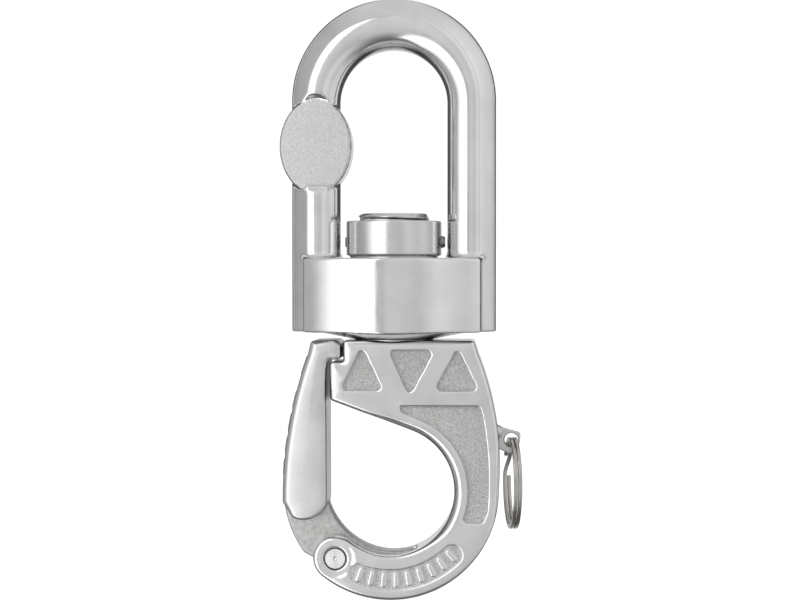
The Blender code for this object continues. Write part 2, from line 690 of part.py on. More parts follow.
def wire_loops(path, half_out, half_side, corners):
    """Section loops along a path of (centre, outward, sideways) stations."""
    loops = []
    for centre, outward, sideways in path:
        loop = []
        for i in range(corners):
            turn = 2 * math.pi * (i + 0.5) / corners
            reach = 1 / math.cos(math.pi / corners)
            loop.append(centre + outward * (half_out * reach * math.cos(turn)) +
                        sideways * (half_side * reach * math.sin(turn)))
        loops.append(loop)
    return loops


def make_spring(lock_axis):
    """A compression spring between the gland and the collar."""
    start = GLAND_OUTER_X - GLAND_LENGTH - SPRING_WIRE_R - 0.1
    end = COLLAR_X + SPRING_WIRE_R + 0.1
    steps = SPRING_TURNS * 12
    stations = []
    for i in range(steps + 1):
        turn = 2 * math.pi * SPRING_TURNS * i / steps
        outward = Vector((math.cos(turn), math.sin(turn), 0))
        centre = outward * SPRING_R + Vector((0, 0, start + (end - start) * i / steps))
        stations.append((centre, outward, Vector((0, 0, 1))))
    loops = wire_loops(stations, SPRING_WIRE_R * 0.9, SPRING_WIRE_R * 0.9, 6)
    on_lock_axis(lofted("lock_spring", loops, "bearing_steel"), lock_axis)


# ---------------------------------------------------------------- split ring

def make_split_ring():
    """Two flat turns of wire; the middle of the wire steps from one turn to the other."""
    step_half = math.radians(16)
    total = 4 * math.pi - 2 * step_half
    steps = 72
    stations = []
    for i in range(steps + 1):
        turn = step_half + total * i / steps
        share = min(1, max(0, (turn - 2 * math.pi + step_half) / (2 * step_half)))
        side = (share * share * (3 - 2 * share) - 0.5) * RING_PITCH
        spin = turn + math.radians(20)
        outward = Vector((0, math.cos(spin), math.sin(spin)))
        centre = outward * RING_R + Vector((side + RING_REST_X, 0, -RING_R))
        stations.append((centre, outward, Vector((1, 0, 0))))
    loops = wire_loops(stations, RING_WIRE_HALF * 0.92, RING_TURN_HALF * 0.92, 8)
    ring = lofted("split_ring", loops, "ring_steel")
    place(ring, TAB_HOLE[0], 0, TAB_HOLE[1], (0, 0, math.radians(RING_YAW_DEG)))


# ---------------------------------------------------------------- the whole shackle

def make_materials():
    for name, (color, roughness, metallic) in MATERIALS.items():
        material = bpy.data.materials.new(name)
        material.use_nodes = True
        shader = material.node_tree.nodes["Principled BSDF"]
        shader.inputs["Base Color"].default_value = color
        shader.inputs["Roughness"].default_value = roughness
        shader.inputs["Metallic"].default_value = metallic
        material.diffuse_color = color


def main():
    for obj in list(bpy.data.objects):
        bpy.data.objects.remove(obj)
    make_materials()
    lock_axis = lock_frame_empty()
    make_bail()
    make_bush()
    make_bearing()
    make_nut()
    make_hook_body(lock_axis)
    make_gate(lock_axis)
    make_pivot_pin()
    make_lock(lock_axis)
    make_gland(lock_axis)
    make_spring(lock_axis)
    make_split_ring()


main()
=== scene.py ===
"""Looks of the snap shackle: forged and machined surfaces, finishes, stage, light and camera.

The fields below give a signed distance in millimetres, negative inside the metal.  surface_net
turns a field into a mesh, so forged edges, fillets and blasted pockets are all real geometry.
"""

import json
import math

import bmesh
import bpy
import numpy as np
from mathutils import Matrix, Vector


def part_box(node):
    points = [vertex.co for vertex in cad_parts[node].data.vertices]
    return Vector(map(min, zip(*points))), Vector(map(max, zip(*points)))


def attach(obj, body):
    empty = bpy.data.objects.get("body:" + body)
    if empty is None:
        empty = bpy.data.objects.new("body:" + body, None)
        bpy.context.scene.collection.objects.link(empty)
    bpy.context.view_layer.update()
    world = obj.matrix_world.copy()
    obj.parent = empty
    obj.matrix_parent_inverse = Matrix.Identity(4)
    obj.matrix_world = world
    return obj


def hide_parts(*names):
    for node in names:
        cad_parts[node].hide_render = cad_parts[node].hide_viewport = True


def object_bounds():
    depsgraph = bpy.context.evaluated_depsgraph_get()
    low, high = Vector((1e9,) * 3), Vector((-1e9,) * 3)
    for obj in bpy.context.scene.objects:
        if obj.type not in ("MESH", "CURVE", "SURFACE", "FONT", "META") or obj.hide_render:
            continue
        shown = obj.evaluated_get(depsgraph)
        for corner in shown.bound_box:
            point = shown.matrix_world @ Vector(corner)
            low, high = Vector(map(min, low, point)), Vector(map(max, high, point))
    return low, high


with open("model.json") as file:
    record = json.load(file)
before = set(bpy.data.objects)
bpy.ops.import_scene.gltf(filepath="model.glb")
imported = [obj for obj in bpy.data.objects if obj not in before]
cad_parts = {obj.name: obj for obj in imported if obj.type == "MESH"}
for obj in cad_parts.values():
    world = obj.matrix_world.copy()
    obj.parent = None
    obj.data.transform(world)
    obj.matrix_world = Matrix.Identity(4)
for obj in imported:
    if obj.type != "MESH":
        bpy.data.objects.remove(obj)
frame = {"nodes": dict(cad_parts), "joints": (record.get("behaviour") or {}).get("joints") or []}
CAD_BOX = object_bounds()
MM = 0.001

JOINTS = {joint["name"]: joint for joint in frame["joints"]}


def joint_point(name):
    """Where a joint's axis crosses the middle plane, as (x, z) in millimetres."""
    x, _, z = JOINTS[name]["pos_m"]
    return x / MM, z / MM


# ---------------------------------------------------------------- dimensions, in mm

BAR_R = 6.0
LEG_X = 19.3
ARCH_Z = -13.3
FLANK_START = (2.05, 5.64)
FLANK_END = (5.2, 2.6)
BAR_OUT = 6.2
CROWN_GROW = 0.125
PAD = (-19.3, -24.0)
PAD_HALF_X = 8.95
PAD_HALF_Z = 11.8
PAD_FACE_Y = 4.6
PAD_RAMP_Z = -33.2
PAD_RAMP_SLOPE = 0.55
BASE_TOP_Z = -51.75
BASE_CROWN_Y = 18.0
BASE_CORNER = (21.7, 10.7)
BASE_UNDER_Z = -71.75
BASE_UNDER_R = 10.6
BASE_RIM_Z = -70.05
BASE_RIM_R = 19.2
BASE_BORE_R = 10.05
COUNTERBORE_R = 12.75
COUNTERBORE_Z = -58.75

SHANK_R = 9.0
SHANK_TOP_Z = -40.7
THREAD_PITCH = 1.5
THREAD_DEPTH = 0.55
NUT_R = 11.9
NUT_TOP_Z = -42.5
NUT_LOW_Z = -51.1
NUT_SPIGOT_R = 11.0
NUT_SPIGOT_Z = -52.9
ROLL_PIN_R = 1.5
ROLL_PIN_Z = -47.7
ROLL_PIN_X = (-12.15, 12.8)
BUSH_R = (9.12, 9.95)
BUSH_Z = (-71.93, -58.9)

BOWL = (-0.7, -109.4)
BOWL_R = 15.9
OUTER_R = 26.9
BODY_TOP_Z = -72.05
BODY_HALF_TOP = 9.5
BODY_HALF = 8.0
TAPER_TOP_Z = -74.0
TAPER_LOW_Z = -92.0
SLOPE_DEG = 20.9
LIP_X = -15.5
LIP_TOP_Z = -77.3
LIP_LOW_Z = -86.8
NOTCH_X = -12.1
POCKET_DEPTH = 1.1
BAND_R = (19.4, 24.4)
BAND_DEG = (246.0, 318.0)
BAND_DEPTH = 0.7
BAND_BARS = 9
BAR_HALF = (1.9, 0.75)

PIVOT = joint_point("gate_hinge")
PIN_R = 2.75
PIN_HALF = 7.78
SPOTFACE_R = 4.65
SPOTFACE_DEPTH = 0.3
HUB_R = 5.4
SLOT_R = 7.0
SLOT_HALF = 3.2
SLOT_FLOOR_R = 19.4
SLOT_END_X = 5.7
TONGUE_HALF = 3.0
HEEL_END_X = 4.8
HEEL_LOW_R = 18.9
HEEL_TOP_Z = -124.2
GATE_OUTER = ((-27.35, -112.2), (-25.3, -91.0), (-20.9, -75.4))
GRIPS = ((-75.8, -81.0), (-84.5, -89.3), (-90.3, -95.2), (-96.2, -100.5), (-101.5, -106.0))
GRIP_HALF_Y = 3.6
GRIP_PROUD = 0.45

TAB_HOLE = joint_point("ring_swing")
LOCK_DEG = 27.5
LOCK_COS = math.cos(math.radians(LOCK_DEG))
LOCK_SIN = math.sin(math.radians(LOCK_DEG))
TAB_HALF_Y = 1.15
TAB_HOLE_R = 1.7
ROD_R = 1.8
TIP_R = 1.2
COLLAR_R = 3.0
LOCK_BORE_R = 3.85
TIP_BORE_R = 1.35
ROD_END = -41.2                        # stations along the pull, from the tab's hole
COLLAR_LOW = -27.1
COLLAR_TOP = -25.5
STEM_END = -2.8
TIP_FACE_X = -12.6
POCKET_FACE_X = -14.05
RING_R = 10.8
RING_YAW_DEG = 7.0
RING_REST_X = 0.3
RING_PITCH = 1.06
RING_SIDE = 0.47
RING_RADIAL = 0.65


# ---------------------------------------------------------------- outlines

def arc(centre, radius, start, end, steps):
    """Points on a circle from angle start to end in degrees."""
    angles = np.radians(np.linspace(start, end, steps + 1))
    return [(centre[0] + radius * math.cos(a), centre[1] + radius * math.sin(a)) for a in angles]


def circle_through(a, b, c):
    """Centre and radius of the circle through three points."""
    d = 2 * (a[0] * (b[1] - c[1]) + b[0] * (c[1] - a[1]) + c[0] * (a[1] - b[1]))
    aa, bb, cc = (p[0] ** 2 + p[1] ** 2 for p in (a, b, c))
    x = (aa * (b[1] - c[1]) + bb * (c[1] - a[1]) + cc * (a[1] - b[1])) / d
    y = (aa * (c[0] - b[0]) + bb * (a[0] - c[0]) + cc * (b[0] - a[0])) / d
    return (x, y), math.hypot(a[0] - x, a[1] - y)


def angle_of(centre, point):
    return math.degrees(math.atan2(point[1] - centre[1], point[0] - centre[0]))


def arc_through(a, b, c, steps):
    """Points on the circle through three points, from a past b to c."""
    centre, radius = circle_through(a, b, c)
    start, middle, end = (angle_of(centre, p) for p in (a, b, c))
    turn = (end - start) % 360
    if (middle - start) % 360 > turn:
        turn -= 360
    return arc(centre, radius, start, start + turn, steps)


def rounded(corners, steps=6):
    """A closed outline from (x, z, fillet radius) corners; a radius of 0 keeps the point."""
    points = []
    for i, (x, z, radius) in enumerate(corners):
        here = Vector((x, z))
        if radius == 0:
            points.append((x, z))
            continue
        back = (Vector(corners[i - 1][:2]) - here).normalized()
        ahead = (Vector(corners[(i + 1) % len(corners)][:2]) - here).normalized()
        half = back.angle(ahead) / 2
        start = here + back * (radius / math.tan(half))
        centre = here + (back + ahead).normalized() * (radius / math.sin(half))
        turn = math.atan2(back.x * ahead.y - back.y * ahead.x, back.dot(ahead))
        sweep = math.copysign(math.pi - abs(turn), -turn)
        for k in range(steps + 1):
            spoke = Matrix.Rotation(sweep * k / steps, 2) @ (start - centre)
            points.append(tuple(centre + spoke))
    return points


def plain(points):
    return [(x, z, 0) for x, z in points]


def body_outline():
    """The hook body's front outline, clockwise from the notch."""
    right = arc_through((21.2, -75.6), (25.3, -90.0), (BOWL[0] + OUTER_R, BOWL[1]), 16)
    ear_r = math.dist(BOWL, PIVOT) - BOWL_R
    toward_ear = angle_of(BOWL, PIVOT) % 360
    bottom = arc(BOWL, OUTER_R, 0, toward_ear - 359, 50)[1:]
    ear = arc(PIVOT, ear_r, toward_ear - 1, toward_ear - 180, 30)
    bowl = arc(BOWL, BOWL_R, toward_ear, 450 - SLOPE_DEG, 64)[1:]
    top = [(NOTCH_X, BODY_TOP_Z, 0.5), (20.1, BODY_TOP_Z, 0.9)]
    lip = [(LIP_X, LIP_LOW_Z, 1.3), (LIP_X, LIP_TOP_Z, 0.9), (NOTCH_X, LIP_TOP_Z, 0.5)]
    return rounded(top + plain(right + bottom + ear + bowl) + lip)


def pocket_outlines():
    """The blasted pockets: three triangles and the long bow pocket."""
    triangles = [rounded([(-7.5, -73.4, 1.0), (-13.0, -84.45, 1.0), (-2.4, -84.45, 1.0)]),
                 rounded([(-1.0, -74.5, 1.0), (10.2, -74.5, 1.0), (4.05, -86.0, 1.0)]),
                 rounded([(16.0, -73.7, 1.0), (10.2, -84.45, 1.0), (21.2, -84.45, 1.0)])]
    inner = arc(BOWL, 19.2, 84 - SLOPE_DEG, -20.5, 24)
    right = arc_through((22.2, -90.8), (23.6, -103.0), (23.3, -114.6), 12)
    bow = rounded([(1.6, -88.3, 0.6), (21.6, -88.3, 1.0)] + plain(right) +
                  [(22.1, -117.1, 0.8), (17.9, -117.1, 0.8)] + plain(list(reversed(inner))) +
                  [(2.0, -89.7, 0)])
    return triangles + [bow]


def slot_outline():
    """The slot between the ears: a disc about the pivot, then the heel's channel."""
    end_deg = -math.degrees(math.acos((SLOT_END_X - BOWL[0]) / SLOT_FLOOR_R))
    floor = arc(BOWL, SLOT_FLOOR_R, end_deg, -110, 16)
    disc = arc(PIVOT, SLOT_R, -13, -262, 40)
    return floor + disc + [(-12.0, -116.0), (SLOT_END_X, -116.0)]


def gate_outline():
    """The gate's thick arm from nose to lobe."""
    nose = [(-20.1, -72.1, 1.0), (-12.75, -71.9, 1.7), (-12.75, -76.8, 1.0), (-16.05, -76.8, 1.2)]
    inner = [(-16.4, -80.0, 0), (-16.3, -111.5, 0)]
    lobe = arc_through((-16.45, -112.9), (-19.9, -116.2), (-25.0, -115.9), 16)
    return rounded(nose + inner + plain(lobe + arc_through(*GATE_OUTER, 24)))


def tongue_outline():
    """The gate's thin tongue: outer curve, hub, heel and inner curve."""
    end_deg = -math.degrees(math.acos((HEEL_END_X - BOWL[0]) / HEEL_LOW_R))
    heel_low = arc(BOWL, HEEL_LOW_R, -115, end_deg, 16)
    heel_top = arc_through((HEEL_END_X - 0.4, HEEL_TOP_Z), (-8.0, -122.6), (-15.9, -113.6), 24)
    hub = arc(PIVOT, HUB_R, 187, 356, 28)
    outer = arc(BOWL, OUTER_R - 0.1, 187, 216, 16)
    return ([(-17.5, -109.0), (-24.5, -109.0)] + outer + hub + heel_low +
            [(HEEL_END_X, HEEL_TOP_Z - 0.5)] + heel_top)


def base_plan():
    left, right = (-BASE_CORNER[0], -BASE_CORNER[1]), (BASE_CORNER[0], -BASE_CORNER[1])
    front = arc_through(left, (0, -BASE_CROWN_Y), right, 40)
    return front + [(-x, -y) for x, y in front]


# ---------------------------------------------------------------- fields

def outline_field(outline, x, z):
    """Signed distance to a closed outline, negative inside."""
    x, z = np.broadcast_arrays(x, z)
    shape = x.shape
    x, z = x.ravel(), z.ravel()
    nearest = np.full(x.shape, np.inf)
    inside = np.zeros(x.shape, bool)
    for (px, pz), (qx, qz) in zip(outline, outline[1:] + outline[:1]):
        ex, ez = qx - px, qz - pz
        length = ex * ex + ez * ez
        if length < 1e-12:
            continue
        rx, rz = x - px, z - pz
        share = np.clip((rx * ex + rz * ez) / length, 0, 1)
        nearest = np.minimum(nearest, (rx - share * ex) ** 2 + (rz - share * ez) ** 2)
        if ez:
            spans = (pz > z) != (qz > z)
            inside ^= spans & (x < px + ex * (z - pz) / ez)
    return (np.where(inside, -1, 1) * np.sqrt(nearest)).reshape(shape)


def both(a, b, r):
    """Where both solids are, with their shared edge rounded to radius r."""
    return (np.minimum(-r, np.maximum(a, b)) +
            np.hypot(np.maximum(r + a, 0), np.maximum(r + b, 0)))


def either(a, b, r):
    """The two solids joined, with a fillet of radius r between them."""
    return (np.maximum(r, np.minimum(a, b)) -
            np.hypot(np.maximum(r - a, 0), np.maximum(r - b, 0)))


def without(a, b, r):
    """The first solid cut by the second, with the cut's edge rounded."""
    return both(a, -b, r)


def ease(low, high, value):
    """0 below low, 1 above high, smooth between."""
    share = np.clip((value - low) / (high - low), 0, 1)
    return share * share * (3 - 2 * share)


def oval_field(centre, half_x, half_z, x, z):
    """Nearly a signed distance to an upright oval."""
    u, v = x - centre[0], z - centre[1]
    near = np.hypot(u / half_x, v / half_z)
    slope = np.hypot(u / half_x ** 2, v / half_z ** 2)
    return near * (near - 1) / np.maximum(slope, 1e-6)


def taper_half(z):
    """Half thickness of the tapered hook at height z."""
    share = np.clip((TAPER_TOP_Z - z) / (TAPER_TOP_Z - TAPER_LOW_Z), 0, 1)
    return BODY_HALF_TOP + (BODY_HALF - BODY_HALF_TOP) * share


def lock_axes(x, y, z):
    """Position along the lock's pull from the tab's hole, height across it, and radius."""
    dx, dz = x - TAB_HOLE[0], z - TAB_HOLE[1]
    along = dx * LOCK_COS - dz * LOCK_SIN
    across = dx * LOCK_SIN + dz * LOCK_COS
    return along, across, np.hypot(across, y)


def bail_field(x, y, z):
    """The bail: flanked bar, marking pads with their facing, and the base with its bearing seat."""
    arch = np.hypot(x, np.maximum(z - ARCH_Z, 0))
    side = np.abs(y)
    swell = 1 + CROWN_GROW * np.maximum(z - ARCH_Z, 0) / np.maximum(arch, 1)
    u = arch - LEG_X
    u = np.where(u > 0, u / swell, u)
    (su, sv), (eu, ev) = FLANK_START, FLANK_END
    length = math.hypot(eu - su, ev - sv)
    flank = ((u - su) * (sv - ev) + (side - sv) * (eu - su)) / length
    round_bar = np.hypot(np.where(u > 0, u * BAR_R / BAR_OUT, u), side) - BAR_R
    bar = both(round_bar, flank + 0.1 * np.exp(np.minimum(round_bar, 0) / 0.8) - 0.08, 0.12)
    oval = oval_field(PAD, PAD_HALF_X, PAD_HALF_Z, x, z)
    above_face = side - PAD_FACE_Y
    shoulder = (oval - np.maximum(above_face, 0)) / 1.41
    ramp = (above_face - PAD_RAMP_SLOPE * np.maximum(PAD_RAMP_Z - z, 0)) / 1.1
    facing = np.maximum(np.where(z > PAD_RAMP_Z, shoulder, -ramp), -ramp)
    facing = np.maximum(facing, np.abs(x - PAD[0]) - 12)
    facing = np.maximum(facing, PAD_RAMP_Z - 6 - z)
    bar = np.where(np.abs(z - PAD[1]) < 16, without(bar, facing, 0.12), bar)
    pad = both(oval, above_face, 0.35)
    blend = 0.4 * (1 - ease(3.2, 4.2, side)) + 0.001
    pad = either(bar, pad, blend)
    plan = outline_field(base_plan(), x, y)
    radius = np.hypot(x, y)
    slope = (BASE_RIM_Z - BASE_UNDER_Z) / (BASE_RIM_R - BASE_UNDER_R)
    under = BASE_UNDER_Z + slope * np.clip(radius - BASE_UNDER_R, 0, BASE_RIM_R - BASE_UNDER_R)
    block = both(plan, z - BASE_TOP_Z, 0.5)
    fillet = 0.35 + 1.4 * ease(BASE_TOP_Z - 1.2, BASE_TOP_Z + 0.4, z)
    solid = both(either(pad, block, fillet), under - z, 0.35)
    above = z - BASE_TOP_Z - 2
    solid = without(solid, np.maximum(radius - BASE_BORE_R, above), 0.3)
    seat = both(radius - COUNTERBORE_R, COUNTERBORE_Z - z, 0.3)
    return without(solid, np.maximum(seat, above), 0.5)


def band_field(x, z):
    """The decorated band along the bottom, negative inside it."""
    radius = np.hypot(x - BOWL[0], z - BOWL[1])
    middle = sum(BAND_R) / 2
    angle = np.degrees(np.arctan2(z - BOWL[1], x - BOWL[0])) % 360
    centre = sum(BAND_DEG) / 2
    reach = (BAND_DEG[1] - centre - 3.5)
    turn = np.clip(angle - centre, -reach, reach)
    px = BOWL[0] + middle * np.cos(np.radians(centre + turn))
    pz = BOWL[1] + middle * np.sin(np.radians(centre + turn))
    half = middle - BAND_R[0]
    return np.where(np.abs(angle - centre) < reach, np.abs(radius - middle),
                    np.hypot(x - px, z - pz)) - half


def bars_field(x, z):
    """The plain round-ended bars standing in the band."""
    radius = np.hypot(x - BOWL[0], z - BOWL[1])
    middle = sum(BAND_R) / 2
    angle = np.degrees(np.arctan2(z - BOWL[1], x - BOWL[0])) % 360
    step = (BAND_DEG[1] - BAND_DEG[0]) / BAND_BARS
    place = np.clip(np.floor((angle - BAND_DEG[0]) / step), 0, BAND_BARS - 1)
    off = np.radians(angle - (BAND_DEG[0] + (place + 0.5) * step)) * middle
    out = np.abs(radius - middle)
    straight = BAR_HALF[0] - BAR_HALF[1]
    return np.hypot(off, out - np.minimum(out, straight)) - BAR_HALF[1]


def recess_field(x, z):
    """All blasted recesses in the hook's faces, negative inside."""
    pockets = np.minimum.reduce([outline_field(p, x, z) for p in pocket_outlines()])
    band = both(band_field(x, z), -bars_field(x, z), 0.1)
    return pockets, band


def lock_bore_field(x, y, z):
    """The stepped bore for the lock pin, and the tab's guide slot."""
    along, across, radius = lock_axes(x, y, z)
    bore = np.maximum(radius - LOCK_BORE_R, np.abs(along + 3.9) - 7.1)
    rod = np.maximum(radius - ROD_R - 0.15, np.abs(along + 26) - 17.2)
    tip = np.maximum(radius - TIP_BORE_R, np.abs(along + 44) - 8)
    guide = np.maximum(np.maximum(np.abs(across + 0.35) - 3.45, np.abs(y) - TAB_HALF_Y - 0.25),
                       np.abs(along + 1.4) - 5.4)
    return np.minimum(np.minimum(bore, rod), np.minimum(tip, guide))


def hook_field(x, y, z):
    """The hook body without its shank."""
    outline = outline_field(body_outline(), x, z)
    side = np.abs(y)
    crown = 0.3 * np.exp(np.minimum(outline, 0) / 2.2)
    face = side - taper_half(z) + crown
    bowl_gap = np.abs(np.hypot(x - BOWL[0], z - BOWL[1]) - BOWL_R)
    edge = 0.9 + 1.3 * (1 - ease(0.0, 5.0, bowl_gap)) * ease(-124.0, -118.0, z)
    solid = both(outline, face, edge)
    pockets, band = recess_field(x, z)
    pocket = both(pockets, taper_half(z) - POCKET_DEPTH - side, 0.45)
    solid = without(solid, pocket, 0.18)
    pattern = both(band, taper_half(z) - BAND_DEPTH - side, 0.3)
    solid = without(solid, pattern, 0.15)
    pivot = np.hypot(x - PIVOT[0], z - PIVOT[1])
    spotface = np.maximum(pivot - SPOTFACE_R, BODY_HALF - SPOTFACE_DEPTH - side)
    solid = without(solid, spotface, 0.06)
    solid = without(solid, np.maximum(outline_field(slot_outline(), x, z), side - SLOT_HALF), 0.25)
    solid = without(solid, pivot - PIN_R - 0.06, 0.2)
    return without(solid, lock_bore_field(x, y, z), 0.2)


def gate_field(x, y, z):
    """The gate: thick arm with its grips, and the thin tongue that turns in the slot."""
    side = np.abs(y)
    outline = outline_field(gate_outline(), x, z)
    centre, radius = circle_through(*GATE_OUTER)
    outer_gap = np.abs(np.hypot(x - centre[0], z - centre[1]) - radius)
    edge = 0.8 + 0.9 * (1 - ease(0.5, 4.0, outer_gap))
    crown = 0.25 * np.exp(np.minimum(outline, 0) / 1.8)
    arm = both(outline, side - taper_half(z) + crown, edge)
    tongue = both(outline_field(tongue_outline(), x, z), side - TONGUE_HALF, 0.5)
    solid = either(arm, tongue, 0.5)
    proud = np.hypot(x - centre[0], z - centre[1]) - radius - GRIP_PROUD
    for high, low in GRIPS:
        middle, half = (high + low) / 2, (high - low) / 2
        pad = both(np.abs(z - middle) - half, side - GRIP_HALF_Y, 1.2)
        pad = both(pad, np.maximum(proud, -proud - 1.5), 0.3)
        solid = either(solid, pad, 0.3)
    pivot = np.hypot(x - PIVOT[0], z - PIVOT[1])
    solid = without(solid, pivot - PIN_R - 0.06, 0.1)
    _, _, lock_radius = lock_axes(x, y, z)
    pocket = np.maximum(np.maximum(lock_radius - TIP_BORE_R - 0.2, POCKET_FACE_X - 0.15 - x), x + 8)
    return without(solid, pocket, 0.12)


def nut_field(x, y, z):
    """The ring nut with its spigot, bore and roll pin hole."""
    radius = np.hypot(x, y)
    collar = both(radius - NUT_R, np.abs(z - (NUT_TOP_Z + NUT_LOW_Z) / 2) -
                  (NUT_TOP_Z - NUT_LOW_Z) / 2, 0.3)
    spigot = np.maximum(radius - NUT_SPIGOT_R, np.abs(z - (NUT_LOW_Z + NUT_SPIGOT_Z) / 2) - 1.2)
    spigot = np.maximum(spigot, NUT_SPIGOT_Z - z)
    solid = np.minimum(collar, spigot)
    solid = without(solid, radius - SHANK_R - 0.08, 0.35)
    return without(solid, np.hypot(y, z - ROLL_PIN_Z) - ROLL_PIN_R - 0.12, 0.15)


def tab_field(x, y, z):
    """The flat pull tab."""
    along, across, _ = lock_axes(x, y, z)
    outline = rounded([(-5.0, 1.35, 0), (1.25, 2.68, 0.7), (2.4, -0.2, 1.6),
                       (1.4, -3.35, 0.6), (-2.2, -3.45, 0)])
    plate = both(outline_field(outline, along, across), np.abs(y) - TAB_HALF_Y, 0.3)
    return without(plate, np.hypot(along, across) - TAB_HOLE_R, 0.3)


# ---------------------------------------------------------------- meshes

def link(name, mesh):
    obj = bpy.data.objects.new(name, mesh)
    bpy.context.scene.collection.objects.link(obj)
    return obj


def surface_net(name, field, low, high, cell):
    """A quad mesh of a field's zero surface: one vertex per grid cell that it crosses."""
    spans = [np.arange(a, b + cell, cell) for a, b in zip(low, high)]
    grid = np.meshgrid(*spans, indexing="ij", sparse=True)
    value = field(*grid)
    inside = value < 0
    shape = tuple(n - 1 for n in value.shape)

    def corner(array, i, j, k):
        return array[i:i + shape[0], j:j + shape[1], k:k + shape[2]]

    corners = [(i, j, k) for i in (0, 1) for j in (0, 1) for k in (0, 1)]
    count = sum(corner(inside, *c).astype(np.int8) for c in corners)
    cells = np.argwhere((count > 0) & (count < 8))
    number = np.full(shape, -1)
    number[tuple(cells.T)] = np.arange(len(cells))
    total, hits = np.zeros((len(cells), 3)), np.zeros(len(cells))
    for c in corners:
        for axis in range(3):
            if c[axis]:
                continue
            far = list(c)
            far[axis] = 1
            here = value[tuple((cells + c).T)]
            there = value[tuple((cells + far).T)]
            crosses = (here < 0) != (there < 0)
            share = np.where(crosses, here / np.where(crosses, here - there, 1), 0)
            point = np.array(c, float) + share[:, None] * np.eye(3)[axis]
            total += point * crosses[:, None]
            hits += crosses
    points = (cells + total / hits[:, None]) * cell + np.array([s[0] for s in spans])

    quads = []
    for axis in range(3):
        a, b = (axis + 1) % 3, (axis + 2) % 3
        head = [slice(None)] * 3
        head[axis] = slice(0, -1)
        tail = [slice(None)] * 3
        tail[axis] = slice(1, None)
        first, second = inside[tuple(head)], inside[tuple(tail)]
        edges = np.argwhere(first != second)
        keep = (edges[:, a] > 0) & (edges[:, b] > 0)
        for limit_axis in (a, b):
            keep &= edges[:, limit_axis] < shape[limit_axis]
        edges = edges[keep]
        leaving = first[tuple(edges.T)]
        step_a, step_b = np.eye(3, dtype=int)[a], np.eye(3, dtype=int)[b]
        ring = [number[tuple((edges - da * step_a - db * step_b).T)]
                for da, db in ((1, 1), (0, 1), (0, 0), (1, 0))]
        quad = np.stack(ring, 1)
        quad[~leaving] = quad[~leaving][:, ::-1]
        quads.append(quad)
    faces = np.concatenate(quads)
    mesh = bpy.data.meshes.new(name)
    mesh.from_pydata((points * MM).tolist(), [], faces.tolist())
    mesh.update()
    mesh.shade_smooth()
    soften_normals(mesh, points, value, spans, cell)
    return link(name, mesh)


def soften_normals(mesh, points, value, spans, cell):
    """Shades the mesh by the field's own slope, so that reflections run smoothly."""
    where = (points - np.array([s[0] for s in spans])) / cell
    low = np.clip(where.astype(int), 0, np.array(value.shape) - 2)
    share = where - low
    slopes = np.gradient(value.astype(np.float32))
    normals = np.zeros_like(points)
    for i in (0, 1):
        for j in (0, 1):
            for k in (0, 1):
                pick = tuple((low + (i, j, k)).T)
                weight = np.prod(np.where((i, j, k), share, 1 - share), axis=1)
                for axis in range(3):
                    normals[:, axis] += weight * slopes[axis][pick]
    normals /= np.maximum(np.linalg.norm(normals, axis=1, keepdims=True), 1e-9)
    mesh.normals_split_custom_set_from_vertices(normals.tolist())


def mark(obj, name, function):
    """Stores function(x, y, z) in mm at every vertex, for the materials to read."""
    mesh = obj.data
    co = np.empty(len(mesh.vertices) * 3)
    mesh.vertices.foreach_get("co", co)
    co = co.reshape(-1, 3) / MM
    attribute = mesh.attributes.new(name, "FLOAT", "POINT")
    attribute.data.foreach_set("value", function(co[:, 0], co[:, 1], co[:, 2]).astype(np.float32))


def lathe(name, profile, segments, matrix=None):
    """A closed (radius, height) profile in mm turned about Z; radius 0 makes a pole."""
    bm = bmesh.new()
    rings = []
    for radius, height in profile:
        count = segments if radius > 0 else 1
        turns = [2 * math.pi * i / segments for i in range(count)]
        rings.append([bm.verts.new((radius * math.cos(a), radius * math.sin(a), height))
                      for a in turns])
    for here, after in zip(rings, rings[1:] + rings[:1]):
        if len(here) == 1 and len(after) == 1:
            continue
        for i in range(segments):
            j = (i + 1) % segments
            quad = [here[i % len(here)], here[j % len(here)],
                    after[j % len(after)], after[i % len(after)]]
            bm.faces.new(list(dict.fromkeys(quad)))
    bmesh.ops.recalc_face_normals(bm, faces=bm.faces)
    return from_bmesh(name, bm, matrix)


def from_bmesh(name, bm, matrix=None):
    """A linked object from a bmesh in millimetres."""
    if matrix is not None:
        bmesh.ops.transform(bm, matrix=matrix, verts=bm.verts)
    bmesh.ops.scale(bm, vec=(MM, MM, MM), verts=bm.verts)
    mesh = bpy.data.meshes.new(name)
    bm.to_mesh(mesh)
    bm.free()
    mesh.shade_smooth()
    mesh.set_sharp_from_angle(angle=math.radians(30))
    return link(name, mesh)


def softened(profile, width=0.15):
    """Cuts each corner of a turned profile with a small flat, so that edges catch light."""
    result = []
    for i, (r, h) in enumerate(profile):
        if r == 0:
            result.append((r, h))
            continue
        for other in (profile[i - 1], profile[(i + 1) % len(profile)]):
            gap = math.dist((r, h), other)
            share = min(width / gap, 0.4)
            result.append((r + (other[0] - r) * share, h + (other[1] - h) * share))
    return result


ALONG_Y = Matrix.Rotation(math.pi / 2, 4, "X")
ALONG_X = Matrix.Rotation(math.pi / 2, 4, "Y")
LOCK_MATRIX = (Matrix.Translation((TAB_HOLE[0], 0, TAB_HOLE[1])) @
               Matrix.Rotation(math.radians(LOCK_DEG), 4, "Y") @ ALONG_X)


